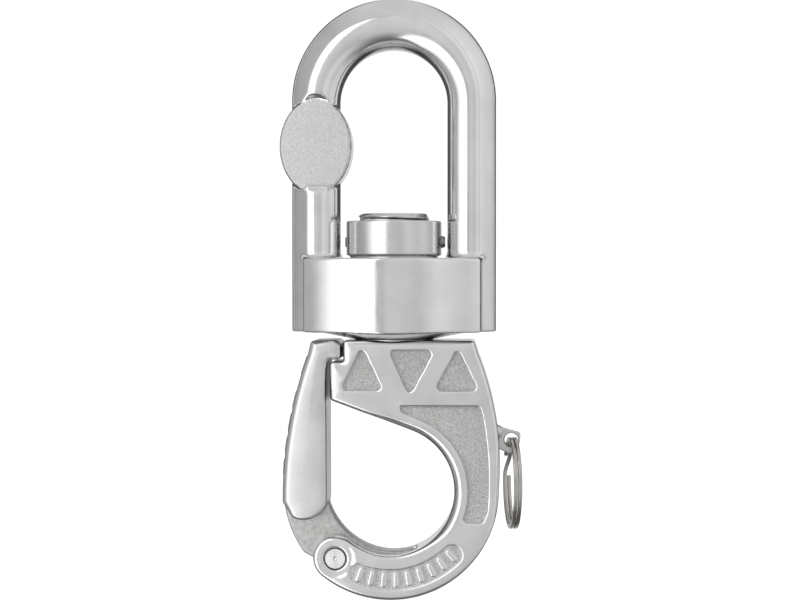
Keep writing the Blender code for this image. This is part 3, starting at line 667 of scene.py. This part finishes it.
def shank():
    """The threaded shank: a lathe form whose skin follows one helical thread."""
    segments, top, low = 96, SHANK_TOP_Z, BODY_TOP_Z - 1.5
    thread_low = -52.0
    heights = [top] + list(np.arange(top - 0.5, thread_low, -THREAD_PITCH / 10))
    heights += [thread_low - 1, thread_low - 6, -66, low]
    bm = bmesh.new()
    rings = []
    for i, h in enumerate(heights):
        ring = []
        for k in range(segments):
            turn = 2 * math.pi * k / segments
            phase = (h / THREAD_PITCH + k / segments) % 1
            depth = THREAD_DEPTH * (1 - abs(2 * phase - 1)) if h > thread_low else 0
            radius = SHANK_R - 0.08 - min(depth, 0.8 * THREAD_DEPTH)
            if i == 0:
                radius = SHANK_R - 0.85
            ring.append(bm.verts.new((radius * math.cos(turn), radius * math.sin(turn), h)))
        rings.append(ring)
    for here, after in zip(rings, rings[1:]):
        for k in range(segments):
            j = (k + 1) % segments
            bm.faces.new((here[k], after[k], after[j], here[j]))
    inner = [bm.verts.new((v.co.x * 0.93, v.co.y * 0.93, top + 0.02)) for v in rings[0]]
    centre = bm.verts.new((0, 0, top + 0.02))
    for k in range(segments):
        j = (k + 1) % segments
        bm.faces.new((rings[0][j], inner[j], inner[k], rings[0][k]))
        bm.faces.new((inner[j], centre, inner[k]))
    bm.faces.new(rings[-1])
    bmesh.ops.recalc_face_normals(bm, faces=bm.faces)
    return from_bmesh("shank_and_thread", bm)


def split_ring():
    """Two flat turns of rounded wire, stepping across once."""
    step_half = math.radians(16)
    total = 4 * math.pi - 2 * step_half
    steps, corners = 300, 16
    yaw = Matrix.Rotation(math.radians(RING_YAW_DEG), 4, "Z")
    bm = bmesh.new()
    rings = []
    for i in range(steps + 1):
        turn = step_half + total * i / steps
        share = min(1, max(0, (turn - 2 * math.pi + step_half) / (2 * step_half)))
        side = (share * share * (3 - 2 * share) - 0.5) * RING_PITCH
        spin = turn + math.radians(20)
        outward = Vector((0, math.cos(spin), math.sin(spin)))
        centre = outward * RING_R + Vector((side + RING_REST_X, 0, -RING_R))
        ring = []
        for k in range(corners):
            a = 2 * math.pi * (k + 0.5) / corners
            c, s = math.cos(a), math.sin(a)
            out = RING_RADIAL * math.copysign(abs(c) ** 0.55, c)
            across = RING_SIDE * math.copysign(abs(s) ** 0.55, s)
            ring.append(bm.verts.new(centre + outward * out + Vector((across, 0, 0))))
        rings.append(ring)
    for here, after in zip(rings, rings[1:]):
        for k in range(corners):
            j = (k + 1) % corners
            bm.faces.new((here[k], here[j], after[j], after[k]))
    bm.faces.new(list(reversed(rings[0])))
    bm.faces.new(rings[-1])
    bmesh.ops.recalc_face_normals(bm, faces=bm.faces)
    place = Matrix.Translation((TAB_HOLE[0], 0, TAB_HOLE[1])) @ yaw
    return from_bmesh("split_ring_wire", bm, place)


# ---------------------------------------------------------------- materials

class Nodes:
    """A short way to build the node tree of a new material, or of the world."""

    def __init__(self, name, world=None):
        self.material = world or bpy.data.materials.new(name)
        self.material.use_nodes = True
        self.tree = self.material.node_tree
        self.shader = self.tree.nodes.get("Principled BSDF")
        self.coords = self.add("ShaderNodeTexCoord").outputs["Generated" if world else "Object"]

    def add(self, kind, **values):
        node = self.tree.nodes.new(kind)
        for key, value in values.items():
            setattr(node, key, value)
        return node

    def wire(self, source, target):
        self.tree.links.new(source, target)

    def scaled(self, scale):
        """Object coordinates times a scale of one number or three."""
        node = self.add("ShaderNodeMapping")
        node.inputs["Scale"].default_value = scale if isinstance(scale, tuple) else (scale,) * 3
        self.wire(self.coords, node.inputs["Vector"])
        return node.outputs["Vector"]

    def noise(self, scale, detail=3.0, roughness=0.6):
        node = self.add("ShaderNodeTexNoise")
        node.inputs["Scale"].default_value = 1.0
        node.inputs["Detail"].default_value = detail
        node.inputs["Roughness"].default_value = roughness
        self.wire(self.scaled(scale), node.inputs["Vector"])
        return node.outputs["Fac"]

    def ranged(self, source, low, high, start=0.3, end=0.7):
        node = self.add("ShaderNodeMapRange")
        for key, value in (("From Min", start), ("From Max", end), ("To Min", low), ("To Max", high)):
            node.inputs[key].default_value = value
        self.wire(source, node.inputs["Value"])
        return node.outputs["Result"]

    def maths(self, operation, a, b=None):
        node = self.add("ShaderNodeMath", operation=operation)
        for socket, value in zip(node.inputs, (a, b)):
            if value is None:
                continue
            if isinstance(value, (int, float)):
                socket.default_value = value
            else:
                self.wire(value, socket)
        return node.outputs["Value"]

    def mix(self, factor, a, b):
        node = self.add("ShaderNodeMix", data_type="RGBA")
        self.wire(factor, node.inputs["Factor"])
        for key, value in (("A", a), ("B", b)):
            socket = [s for s in node.inputs if s.name == key and s.type == "RGBA"][0]
            if isinstance(value, tuple):
                socket.default_value = value + (1.0,)
            else:
                self.wire(value, socket)
        return [s for s in node.outputs if s.type == "RGBA"][0]

    def blend(self, factor, a, b):
        """a where factor is 0, b where it is 1."""
        node = self.add("ShaderNodeMix", data_type="FLOAT")
        self.wire(factor, node.inputs["Factor"])
        for key, value in (("A", a), ("B", b)):
            socket = [s for s in node.inputs if s.name == key and s.type == "VALUE"][0]
            if isinstance(value, (int, float)):
                socket.default_value = value
            else:
                self.wire(value, socket)
        return [s for s in node.outputs if s.type == "VALUE"][0]

    def attribute(self, name):
        return self.add("ShaderNodeAttribute", attribute_name=name).outputs["Fac"]

    def bump(self, height, distance, strength=1.0, before=None):
        node = self.add("ShaderNodeBump")
        node.inputs["Strength"].default_value = strength
        node.inputs["Distance"].default_value = distance
        self.wire(height, node.inputs["Height"])
        if before is not None:
            self.wire(before, node.inputs["Normal"])
        return node.outputs["Normal"]

    def finish(self, color, roughness, metallic, normal):
        for key, value in (("Base Color", color), ("Roughness", roughness)):
            if isinstance(value, tuple):
                self.shader.inputs[key].default_value = value + (1.0,)
            elif isinstance(value, (int, float)):
                self.shader.inputs[key].default_value = value
            else:
                self.wire(value, self.shader.inputs[key])
        self.shader.inputs["Metallic"].default_value = metallic
        self.wire(normal, self.shader.inputs["Normal"])
        return self.material


PAD_TONE_AND_GAP_SHADE = (0.28, 0.28, 0.275)     # flat grey: painted shade in the gaps beside the gate's nose, and the bail pad's darker tone


def forged_steel(name, light, rough, lines):
    """Polished stainless whose recesses, marked 'blast', are grey and grainy."""
    n = Nodes(name)
    blast = n.attribute("blast")
    drift = n.noise(120.0, 4.0)
    lined = n.noise(lines, 2.0)
    grain = n.noise(2300.0, 3.0, 0.8)
    speck = n.noise(5200.0, 1.0)
    shine = n.mix(n.ranged(drift, 0.0, 1.0), light[0], light[1])
    dull = n.mix(n.ranged(grain, 0.0, 1.0), (0.44, 0.44, 0.435), (0.92, 0.92, 0.91))
    # The second attribute pulls the colour to a flat grey: painted shade in the gaps beside the
    # gate's nose, and a darker tone on the bail's pad.
    color = n.mix(n.attribute("pad_tone_and_gap_shade"), n.mix(blast, shine, dull), PAD_TONE_AND_GAP_SHADE)
    polished = n.maths("ADD", n.ranged(drift, rough[0], rough[1]), n.ranged(lined, -0.03, 0.03))
    roughness = n.blend(blast, polished, n.ranged(speck, 0.48, 0.62))
    fine = n.bump(lined, 0.00001, 0.25)
    wave = n.bump(n.noise(160.0, 1.0), 0.0002, 0.12, fine)
    grit = n.bump(n.maths("MULTIPLY", grain, blast), 0.0004, 1.0, wave)
    return n.finish(color, roughness, 1.0, grit)


def turned_steel(name, tone, rough, along):
    """Lathe-turned stainless: fine rings about the axis with index along."""
    n = Nodes(name)
    stretch = [30.0, 30.0, 30.0]
    stretch[along] = 5200.0
    ring_marks = n.noise(tuple(stretch), 2.0)
    drift = n.noise(150.0, 3.0)
    color = n.mix(n.ranged(drift, 0.0, 1.0), tuple(c * 0.93 for c in tone), tone)
    roughness = n.maths("ADD", n.ranged(ring_marks, rough - 0.05, rough + 0.06),
                        n.ranged(drift, -0.03, 0.03))
    return n.finish(color, roughness, 1.0, n.bump(ring_marks, 0.00002, 0.5))


def faced_steel(name, centre, tone, rough):
    """A face turned about a pivot: rings by distance from the centre, in metres."""
    n = Nodes(name)
    split = n.add("ShaderNodeSeparateXYZ")
    n.wire(n.coords, split.inputs["Vector"])
    dx = n.maths("SUBTRACT", split.outputs["X"], centre[0] * MM)
    dz = n.maths("SUBTRACT", split.outputs["Z"], centre[1] * MM)
    radius = n.maths("SQRT", n.maths("ADD", n.maths("MULTIPLY", dx, dx), n.maths("MULTIPLY", dz, dz)))
    rings = n.maths("SINE", n.maths("MULTIPLY", radius, 42000.0))
    drift = n.noise(400.0, 3.0)
    color = n.mix(n.ranged(drift, 0.0, 1.0), tuple(c * 0.9 for c in tone), tone)
    roughness = n.maths("ADD", n.ranged(drift, rough - 0.04, rough + 0.05),
                        n.ranged(rings, 0.0, 0.03, -1, 1))
    return n.finish(color, roughness, 1.0, n.bump(rings, 0.000012, 0.6))


def satin_steel(name, tone, rough, lines):
    """Satin stainless with fine grinding lines."""
    n = Nodes(name)
    lined = n.noise(lines, 3.0)
    drift = n.noise(90.0, 4.0)
    color = n.mix(n.ranged(drift, 0.0, 1.0), tuple(c * 0.94 for c in tone), tone)
    roughness = n.maths("ADD", n.ranged(lined, rough - 0.05, rough + 0.07),
                        n.ranged(drift, -0.04, 0.04))
    return n.finish(color, roughness, 1.0, n.bump(lined, 0.00002, 0.4))


def gate_steel():
    """The gate: satin faces, and a dull mottled tongue where 'tongue' is 1, whose darker grey is
    partly painted shade of its recess; the gap beside the lip gets a flat grey painted shade.
    """
    n = Nodes("gate_satin_dull_and_shade")
    tongue = n.attribute("tongue")
    drift = n.noise(110.0, 4.0)
    lined = n.noise((2400.0, 2400.0, 160.0), 3.0)
    mottle = n.noise(700.0, 5.0, 0.7)
    satin = n.mix(n.ranged(drift, 0.0, 1.0), (0.64, 0.64, 0.635), (0.72, 0.72, 0.715))
    tongue_dull_and_shade = n.mix(n.ranged(mottle, 0.0, 1.0), (0.36, 0.36, 0.355), (0.66, 0.66, 0.65))
    # The tongue's darker mottled grey is partly painted shade of its recess; the second attribute
    # pulls the colour to a flat grey, painted shade in the gap beside the lip.
    color = n.mix(n.attribute("pad_tone_and_gap_shade"), n.mix(tongue, satin, tongue_dull_and_shade), PAD_TONE_AND_GAP_SHADE)
    soft = n.maths("ADD", n.ranged(drift, 0.27, 0.35), n.ranged(lined, -0.03, 0.04))
    roughness = n.blend(tongue, soft, n.ranged(mottle, 0.40, 0.55))
    fine = n.bump(lined, 0.000012, 0.4)
    pitted = n.bump(n.maths("MULTIPLY", mottle, tongue), 0.0001, 0.5, fine)
    return n.finish(color, roughness, 1.0, pitted)


def moulded_polymer():
    n = Nodes("black_bearing_polymer")
    grain = n.noise(1800.0, 3.0)
    color = n.mix(n.ranged(grain, 0.0, 1.0), (0.012, 0.012, 0.013), (0.035, 0.035, 0.037))
    return n.finish(color, n.ranged(grain, 0.45, 0.62), 0.0, n.bump(grain, 0.00003, 0.4))


def drawn_wire(name, tone, rough):
    n = Nodes(name)
    grain = n.noise((1500.0, 400.0, 400.0), 3.0)
    stain = n.noise(260.0, 4.0, 0.7)
    color = n.mix(n.ranged(stain, 0.0, 1.0), tuple(c * 0.72 for c in tone), tone)
    return n.finish(color, n.ranged(stain, rough - 0.06, rough + 0.1), 1.0,
                    n.bump(grain, 0.00002, 0.5))


def cage_brass():
    n = Nodes("cage_brass")
    stain = n.noise(300.0, 4.0)
    color = n.mix(n.ranged(stain, 0.0, 1.0), (0.55, 0.38, 0.14), (0.78, 0.60, 0.30))
    return n.finish(color, n.ranged(stain, 0.28, 0.42), 1.0, n.bump(n.noise(2500.0), 0.00002, 0.4))


def paint(obj, *materials):
    obj.data.materials.clear()
    for material in materials:
        obj.data.materials.append(material)


# ---------------------------------------------------------------- pieces

STEEL = forged_steel("bail_polished_steel", ((0.74, 0.74, 0.735), (0.82, 0.82, 0.815)),
                     (0.12, 0.19), (2200.0, 2200.0, 140.0))
HOOK_STEEL = forged_steel("hook_polished_steel", ((0.74, 0.74, 0.735), (0.83, 0.83, 0.825)),
                          (0.16, 0.24), (1800.0, 1800.0, 300.0))
GATE_STEEL = gate_steel()
TURNED = turned_steel("turned_steel", (0.72, 0.72, 0.715), 0.24, 2)
PIN_FACE = faced_steel("pivot_pin_face", PIVOT, (0.78, 0.78, 0.775), 0.22)
TAB_STEEL = satin_steel("tab_satin_steel", (0.66, 0.66, 0.655), 0.30, (2600.0, 300.0, 300.0))
WIRE = drawn_wire("ring_wire_steel", (0.62, 0.60, 0.57), 0.24)
SPRING = drawn_wire("spring_wire_steel", (0.34, 0.34, 0.34), 0.3)
GROUND = satin_steel("ground_bearing_steel", (0.58, 0.58, 0.60), 0.16, (1200.0, 1200.0, 1200.0))
POLYMER = moulded_polymer()
BRASS = cage_brass()


def make_bail():
    low, high = (c / MM for c in map(np.array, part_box("bail_forging")))
    bail = surface_net("bail_forging_skin", bail_field, low - 1, high + 1, 0.42)
    def on_pad(x, y, z):
        return ((np.abs(np.abs(y) - PAD_FACE_Y) < 0.6) & (z > PAD_RAMP_Z - 3) &
                (oval_field(PAD, PAD_HALF_X, PAD_HALF_Z, x, z) < -0.2))

    mark(bail, "blast", lambda x, y, z: np.where(on_pad(x, y, z), 0.45, 0.0))
    # The pad's colour is pulled partway to the flat grey, a darker tone.
    mark(bail, "pad_tone_and_gap_shade", lambda x, y, z: np.where(on_pad(x, y, z), 0.36, 0.0))
    paint(bail, STEEL)
    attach(bail, "bail")
    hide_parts("bail_forging")


def make_hook():
    low, high = (c / MM for c in map(np.array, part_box("hook_body")))
    high[2] = BODY_TOP_Z
    body = surface_net("hook_forging_skin", hook_field, low - 1, high + 1, 0.34)

    def blasted(x, y, z):
        pockets, band = recess_field(x, z)
        depth = taper_half(z) - np.abs(y)
        deep = ease(0.35, 0.75, depth) * (np.minimum(pockets, band) < 0.15)
        return np.where((depth < 1.6) & (np.abs(y) > 5), deep, 0.0)

    def shaded(x, y, z):
        """How far a point lies inside the narrow gap beside the gate's nose, where the flat grey
        painted shade goes.
        """
        return (ease(-87.5, -86.0, z) * (1 - ease(-14.9, -14.5, x)) +
                ease(-78.3, -77.6, z) * (1 - ease(-11.7, -11.3, x))) * (np.abs(y) < 8.4)

    mark(body, "blast", blasted)
    # Painted shade: the walls of the gap beside the gate's nose go flat grey.
    mark(body, "pad_tone_and_gap_shade", lambda x, y, z: np.clip(shaded(x, y, z), 0, 1))
    paint(body, HOOK_STEEL)
    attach(body, "hook")
    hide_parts("hook_body")
    stem = shank()
    paint(stem, TURNED)
    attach(stem, "hook")
    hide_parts("hook_body")


def make_gate():
    low, high = (c / MM for c in map(np.array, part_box("gate_arm")))
    gate = surface_net("gate_arm_skin", gate_field, low - 1, high + 1, 0.3)
    mark(gate, "tongue", lambda x, y, z: ease(0.0, 0.6, outline_field(gate_outline(), x, z)) *
         (z < -108))
    # Painted shade: the gate's inner side facing the lip, in the gap, goes flat grey.
    mark(gate, "pad_tone_and_gap_shade", lambda x, y, z: (np.abs(y) < 8.4) * np.clip(
        ease(-87.5, -86.5, z) * ease(-16.9, -16.6, x) * (1 - ease(-73.2, -72.4, z)), 0, 1))
    paint(gate, GATE_STEEL)
    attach(gate, "gate")
    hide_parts("gate_arm")


def make_nut():
    low, high = (c / MM for c in map(np.array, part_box("ring_nut")))
    nut = surface_net("ring_nut_skin", nut_field, low - 0.6, high + 0.6, 0.28)
    paint(nut, TURNED)
    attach(nut, "hook")
    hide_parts("ring_nut")
    start, end = ROLL_PIN_X
    profile = [(0, start + 0.6), (0.7, start + 0.6), (0.7, start), (ROLL_PIN_R - 0.3, start),
               (ROLL_PIN_R, start + 0.5), (ROLL_PIN_R, end - 0.5), (ROLL_PIN_R - 0.3, end),
               (0.7, end), (0.7, end - 0.6), (0, end - 0.6)]
    pin = lathe("nut_roll_pin_skin", profile, 40, Matrix.Translation((0, 0, ROLL_PIN_Z)) @ ALONG_X)
    paint(pin, SPRING)
    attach(pin, "hook")
    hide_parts("nut_roll_pin")


def make_pivot_pin():
    half, dimple = PIN_HALF, 0.6
    end = [(0, half - 0.7), (dimple, half), (PIN_R - 0.32, half), (PIN_R - 0.2, half - 1.2),
           (PIN_R, half - 1.4)]
    profile = [(r, -h) for r, h in end] + list(reversed(end))
    pin = lathe("gate_pivot_pin_skin", profile, 72,
                Matrix.Translation((PIVOT[0], 0, PIVOT[1])) @ ALONG_Y)
    paint(pin, PIN_FACE)
    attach(pin, "hook")
    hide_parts("gate_pivot_pin")


def make_lock():
    low, high = (np.array((24.0, -2.0, -102.5)), np.array((33.0, 2.0, -92.0)))
    tab = surface_net("lock_tab_skin", tab_field, low, high, 0.14)
    paint(tab, TAB_STEEL)
    tip_end = (TIP_FACE_X - TAB_HOLE[0]) / LOCK_COS - 1
    profile = softened([(0, tip_end), (TIP_R, tip_end), (TIP_R, ROD_END - 0.6), (ROD_R, ROD_END),
                        (ROD_R, COLLAR_LOW), (COLLAR_R, COLLAR_LOW), (COLLAR_R, COLLAR_TOP),
                        (ROD_R, COLLAR_TOP), (ROD_R, STEM_END), (0, STEM_END)])
    stem = lathe("lock_stem_skin", profile, 40, LOCK_MATRIX)
    for vertex in stem.data.vertices:         # the tip's end face is parallel to the nose
        short = TIP_FACE_X * MM - vertex.co.x
        if short > 0:
            vertex.co += Vector((short, 0, -short * LOCK_SIN / LOCK_COS))
    paint(stem, TAB_STEEL)
    for piece in (tab, stem):
        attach(piece, "lock")
        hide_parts("lock_pin")


def make_bush():
    (inner, outer), (low, top) = BUSH_R, BUSH_Z
    profile = softened([(inner, low), (outer, low), (outer, top), (inner, top)], 0.12)
    bush = lathe("swivel_bush_skin", profile, 96)
    paint(bush, POLYMER)
    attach(bush, "bail")
    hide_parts("swivel_bush")


def make_ring():
    ring = split_ring()
    paint(ring, WIRE)
    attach(ring, "ring")
    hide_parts("split_ring")


def paint_cad():
    for name, node in frame["nodes"].items():
        material = GROUND
        if name == "bearing_cage":
            material = BRASS
        elif name == "lock_spring":
            material = SPRING
        elif name == "lock_gland":
            material = TURNED
        paint(node, material)


# ---------------------------------------------------------------- stage, light, camera

def make_stage():
    """A pale floor that curves up into a pale wall all the way round, in metres."""
    floor_z, radius, bend, top = CAD_BOX[0][2] - 0.55, 2.0, 0.8, 2.2
    profile = [(0, floor_z), (radius - bend, floor_z)]
    for i in range(1, 13):
        a = math.radians(90 * i / 12)
        profile.append((radius - bend + bend * math.sin(a), floor_z + bend - bend * math.cos(a)))
    profile.append((radius, top))
    bm = bmesh.new()
    segments = 72
    rings = []
    for r, z in profile:
        turns = [2 * math.pi * i / segments for i in range(segments if r else 1)]
        rings.append([bm.verts.new((r * math.cos(a), r * math.sin(a), z)) for a in turns])
    for here, after in zip(rings, rings[1:]):
        for i in range(segments):
            j = (i + 1) % segments
            quad = [here[i % len(here)], here[j % len(here)], after[j], after[i]]
            bm.faces.new(list(dict.fromkeys(quad)))
    mesh = bpy.data.meshes.new("floor")
    bm.to_mesh(mesh)
    bm.free()
    mesh.shade_smooth()
    floor = link("floor", mesh)
    n = Nodes("pale_floor")
    speckle = n.noise(3.0, 2.0)
    tone = n.mix(n.ranged(speckle, 0.0, 1.0), (0.93, 0.93, 0.93), (0.95, 0.95, 0.95))
    n.shader.inputs["Emission Color"].default_value = (1.0, 1.0, 1.0, 1.0)
    n.shader.inputs["Emission Strength"].default_value = 0.5
    paint(floor, n.finish(tone, 0.9, 0.0, n.bump(speckle, 0.0005, 0.1)))
    floor.visible_glossy = False
    floor.visible_shadow = False
    floor.visible_diffuse = False


def ramp(n, source, stops):
    """Brightness along a source from 0 to 1, through (place, brightness) stops."""
    node = n.add("ShaderNodeValToRGB")
    elements = node.color_ramp.elements
    while len(elements) < len(stops):
        elements.new(0.5)
    for element, (place, value) in zip(elements, stops):
        element.position = place
        element.color = (value, value, value, 1.0)
    n.wire(source, node.inputs["Fac"])
    return node.outputs["Color"]


def make_light():
    """A light tent: pale all round, darker at its two rear gaps and underneath."""
    world = bpy.data.worlds.new("studio")
    bpy.context.scene.world = world
    n = Nodes("studio", world)
    split = n.add("ShaderNodeSeparateXYZ")
    n.wire(n.coords, split.inputs["Vector"])
    x, y, z = (split.outputs[axis] for axis in "XYZ")
    bearing = n.maths("ARCTAN2", x, n.maths("MULTIPLY", y, -1.0))
    around = n.ranged(bearing, 0.0, 1.0, -math.pi, math.pi)
    stops = ((-180, 0.75), (-163, 0.75), (-156, 0.06), (-118, 0.12), (-114, 0.85), (-107, 0.85),
             (-102, 0.2), (-96, 0.45), (-66, 0.52), (-20, 0.62), (-11, 0.5), (-6, 0.72), (8, 0.66),
             (20, 0.62), (36, 0.85), (60, 0.68), (80, 0.84), (98, 0.62), (103, 0.2),
             (108, 0.95), (115, 0.95), (119, 0.1), (156, 0.06), (163, 0.75), (180, 0.75))
    side = ramp(n, around, [((angle + 180) / 360, value) for angle, value in stops])
    height = n.ranged(z, 0.0, 1.0, -1.0, 1.0)
    level = ramp(n, height, ((0.0, 0.18), (0.04, 0.2), (0.25, 0.9), (0.5, 1.0), (0.75, 1.12),
                             (1.0, 1.05)))
    pole = n.ranged(n.maths("ABSOLUTE", z), 0.0, 1.0, 0.75, 0.97)
    glow = n.maths("MULTIPLY", n.blend(pole, side, 0.68), level)
    background = n.tree.nodes["Background"]
    n.wire(glow, background.inputs["Strength"])
    background.inputs["Color"].default_value = (1.0, 1.0, 1.0, 1.0)
    softbox()


def softbox():
    """The key light: a tall card at the front left, fading towards its outer edge."""
    start, end, distance = math.radians(-68), math.radians(-15), 0.22
    rows = []
    bm = bmesh.new()
    columns = 24
    for i in range(columns + 1):
        a = start + (end - start) * i / columns
        x, y = distance * math.sin(a), -distance * math.cos(a)
        rows.append([bm.verts.new((x, y, z)) for z in (-0.34, 0.22)])
    for here, after in zip(rows, rows[1:]):
        bm.faces.new((here[0], after[0], after[1], here[1]))
    mesh = bpy.data.meshes.new("softbox")
    bm.to_mesh(mesh)
    bm.free()
    card = link("softbox", mesh)
    n = Nodes("softbox_glow")
    split = n.add("ShaderNodeSeparateXYZ")
    n.wire(n.coords, split.inputs["Vector"])
    bearing = n.maths("ARCTAN2", split.outputs["X"], n.maths("MULTIPLY", split.outputs["Y"], -1.0))
    glow = n.ranged(bearing, 0.5, 1.7, start, math.radians(-44))
    n.shader.inputs["Base Color"].default_value = (0.0, 0.0, 0.0, 1.0)
    n.shader.inputs["Emission Color"].default_value = (1.0, 1.0, 1.0, 1.0)
    n.wire(glow, n.shader.inputs["Emission Strength"])
    paint(card, n.material)
    card.visible_camera = False
    card.visible_shadow = False


def make_camera():
    """The camera, from the front and a touch to the right and above."""
    bpy.context.scene.view_settings.view_transform = "Standard"
    aim = Vector((1.5, 0, -62.2)) * MM
    azimuth, elevation, distance = math.radians(2.8), math.radians(0.8), 0.5
    offset = Vector((math.sin(azimuth) * math.cos(elevation),
                     -math.cos(azimuth) * math.cos(elevation), math.sin(elevation)))
    data = bpy.data.cameras.new("camera")
    data.lens, data.sensor_width = 90, 36
    data.clip_start, data.clip_end = 0.01, 20
    camera = bpy.data.objects.new("camera", data)
    camera.location = aim + offset * distance
    camera.rotation_euler = (-offset).to_track_quat("-Z", "Y").to_euler()
    bpy.context.scene.collection.objects.link(camera)
    bpy.context.scene.camera = camera


paint_cad()
make_bail()
make_hook()
make_gate()
make_nut()
make_pivot_pin()
make_lock()
make_bush()
make_ring()
make_stage()
make_light()
make_camera()
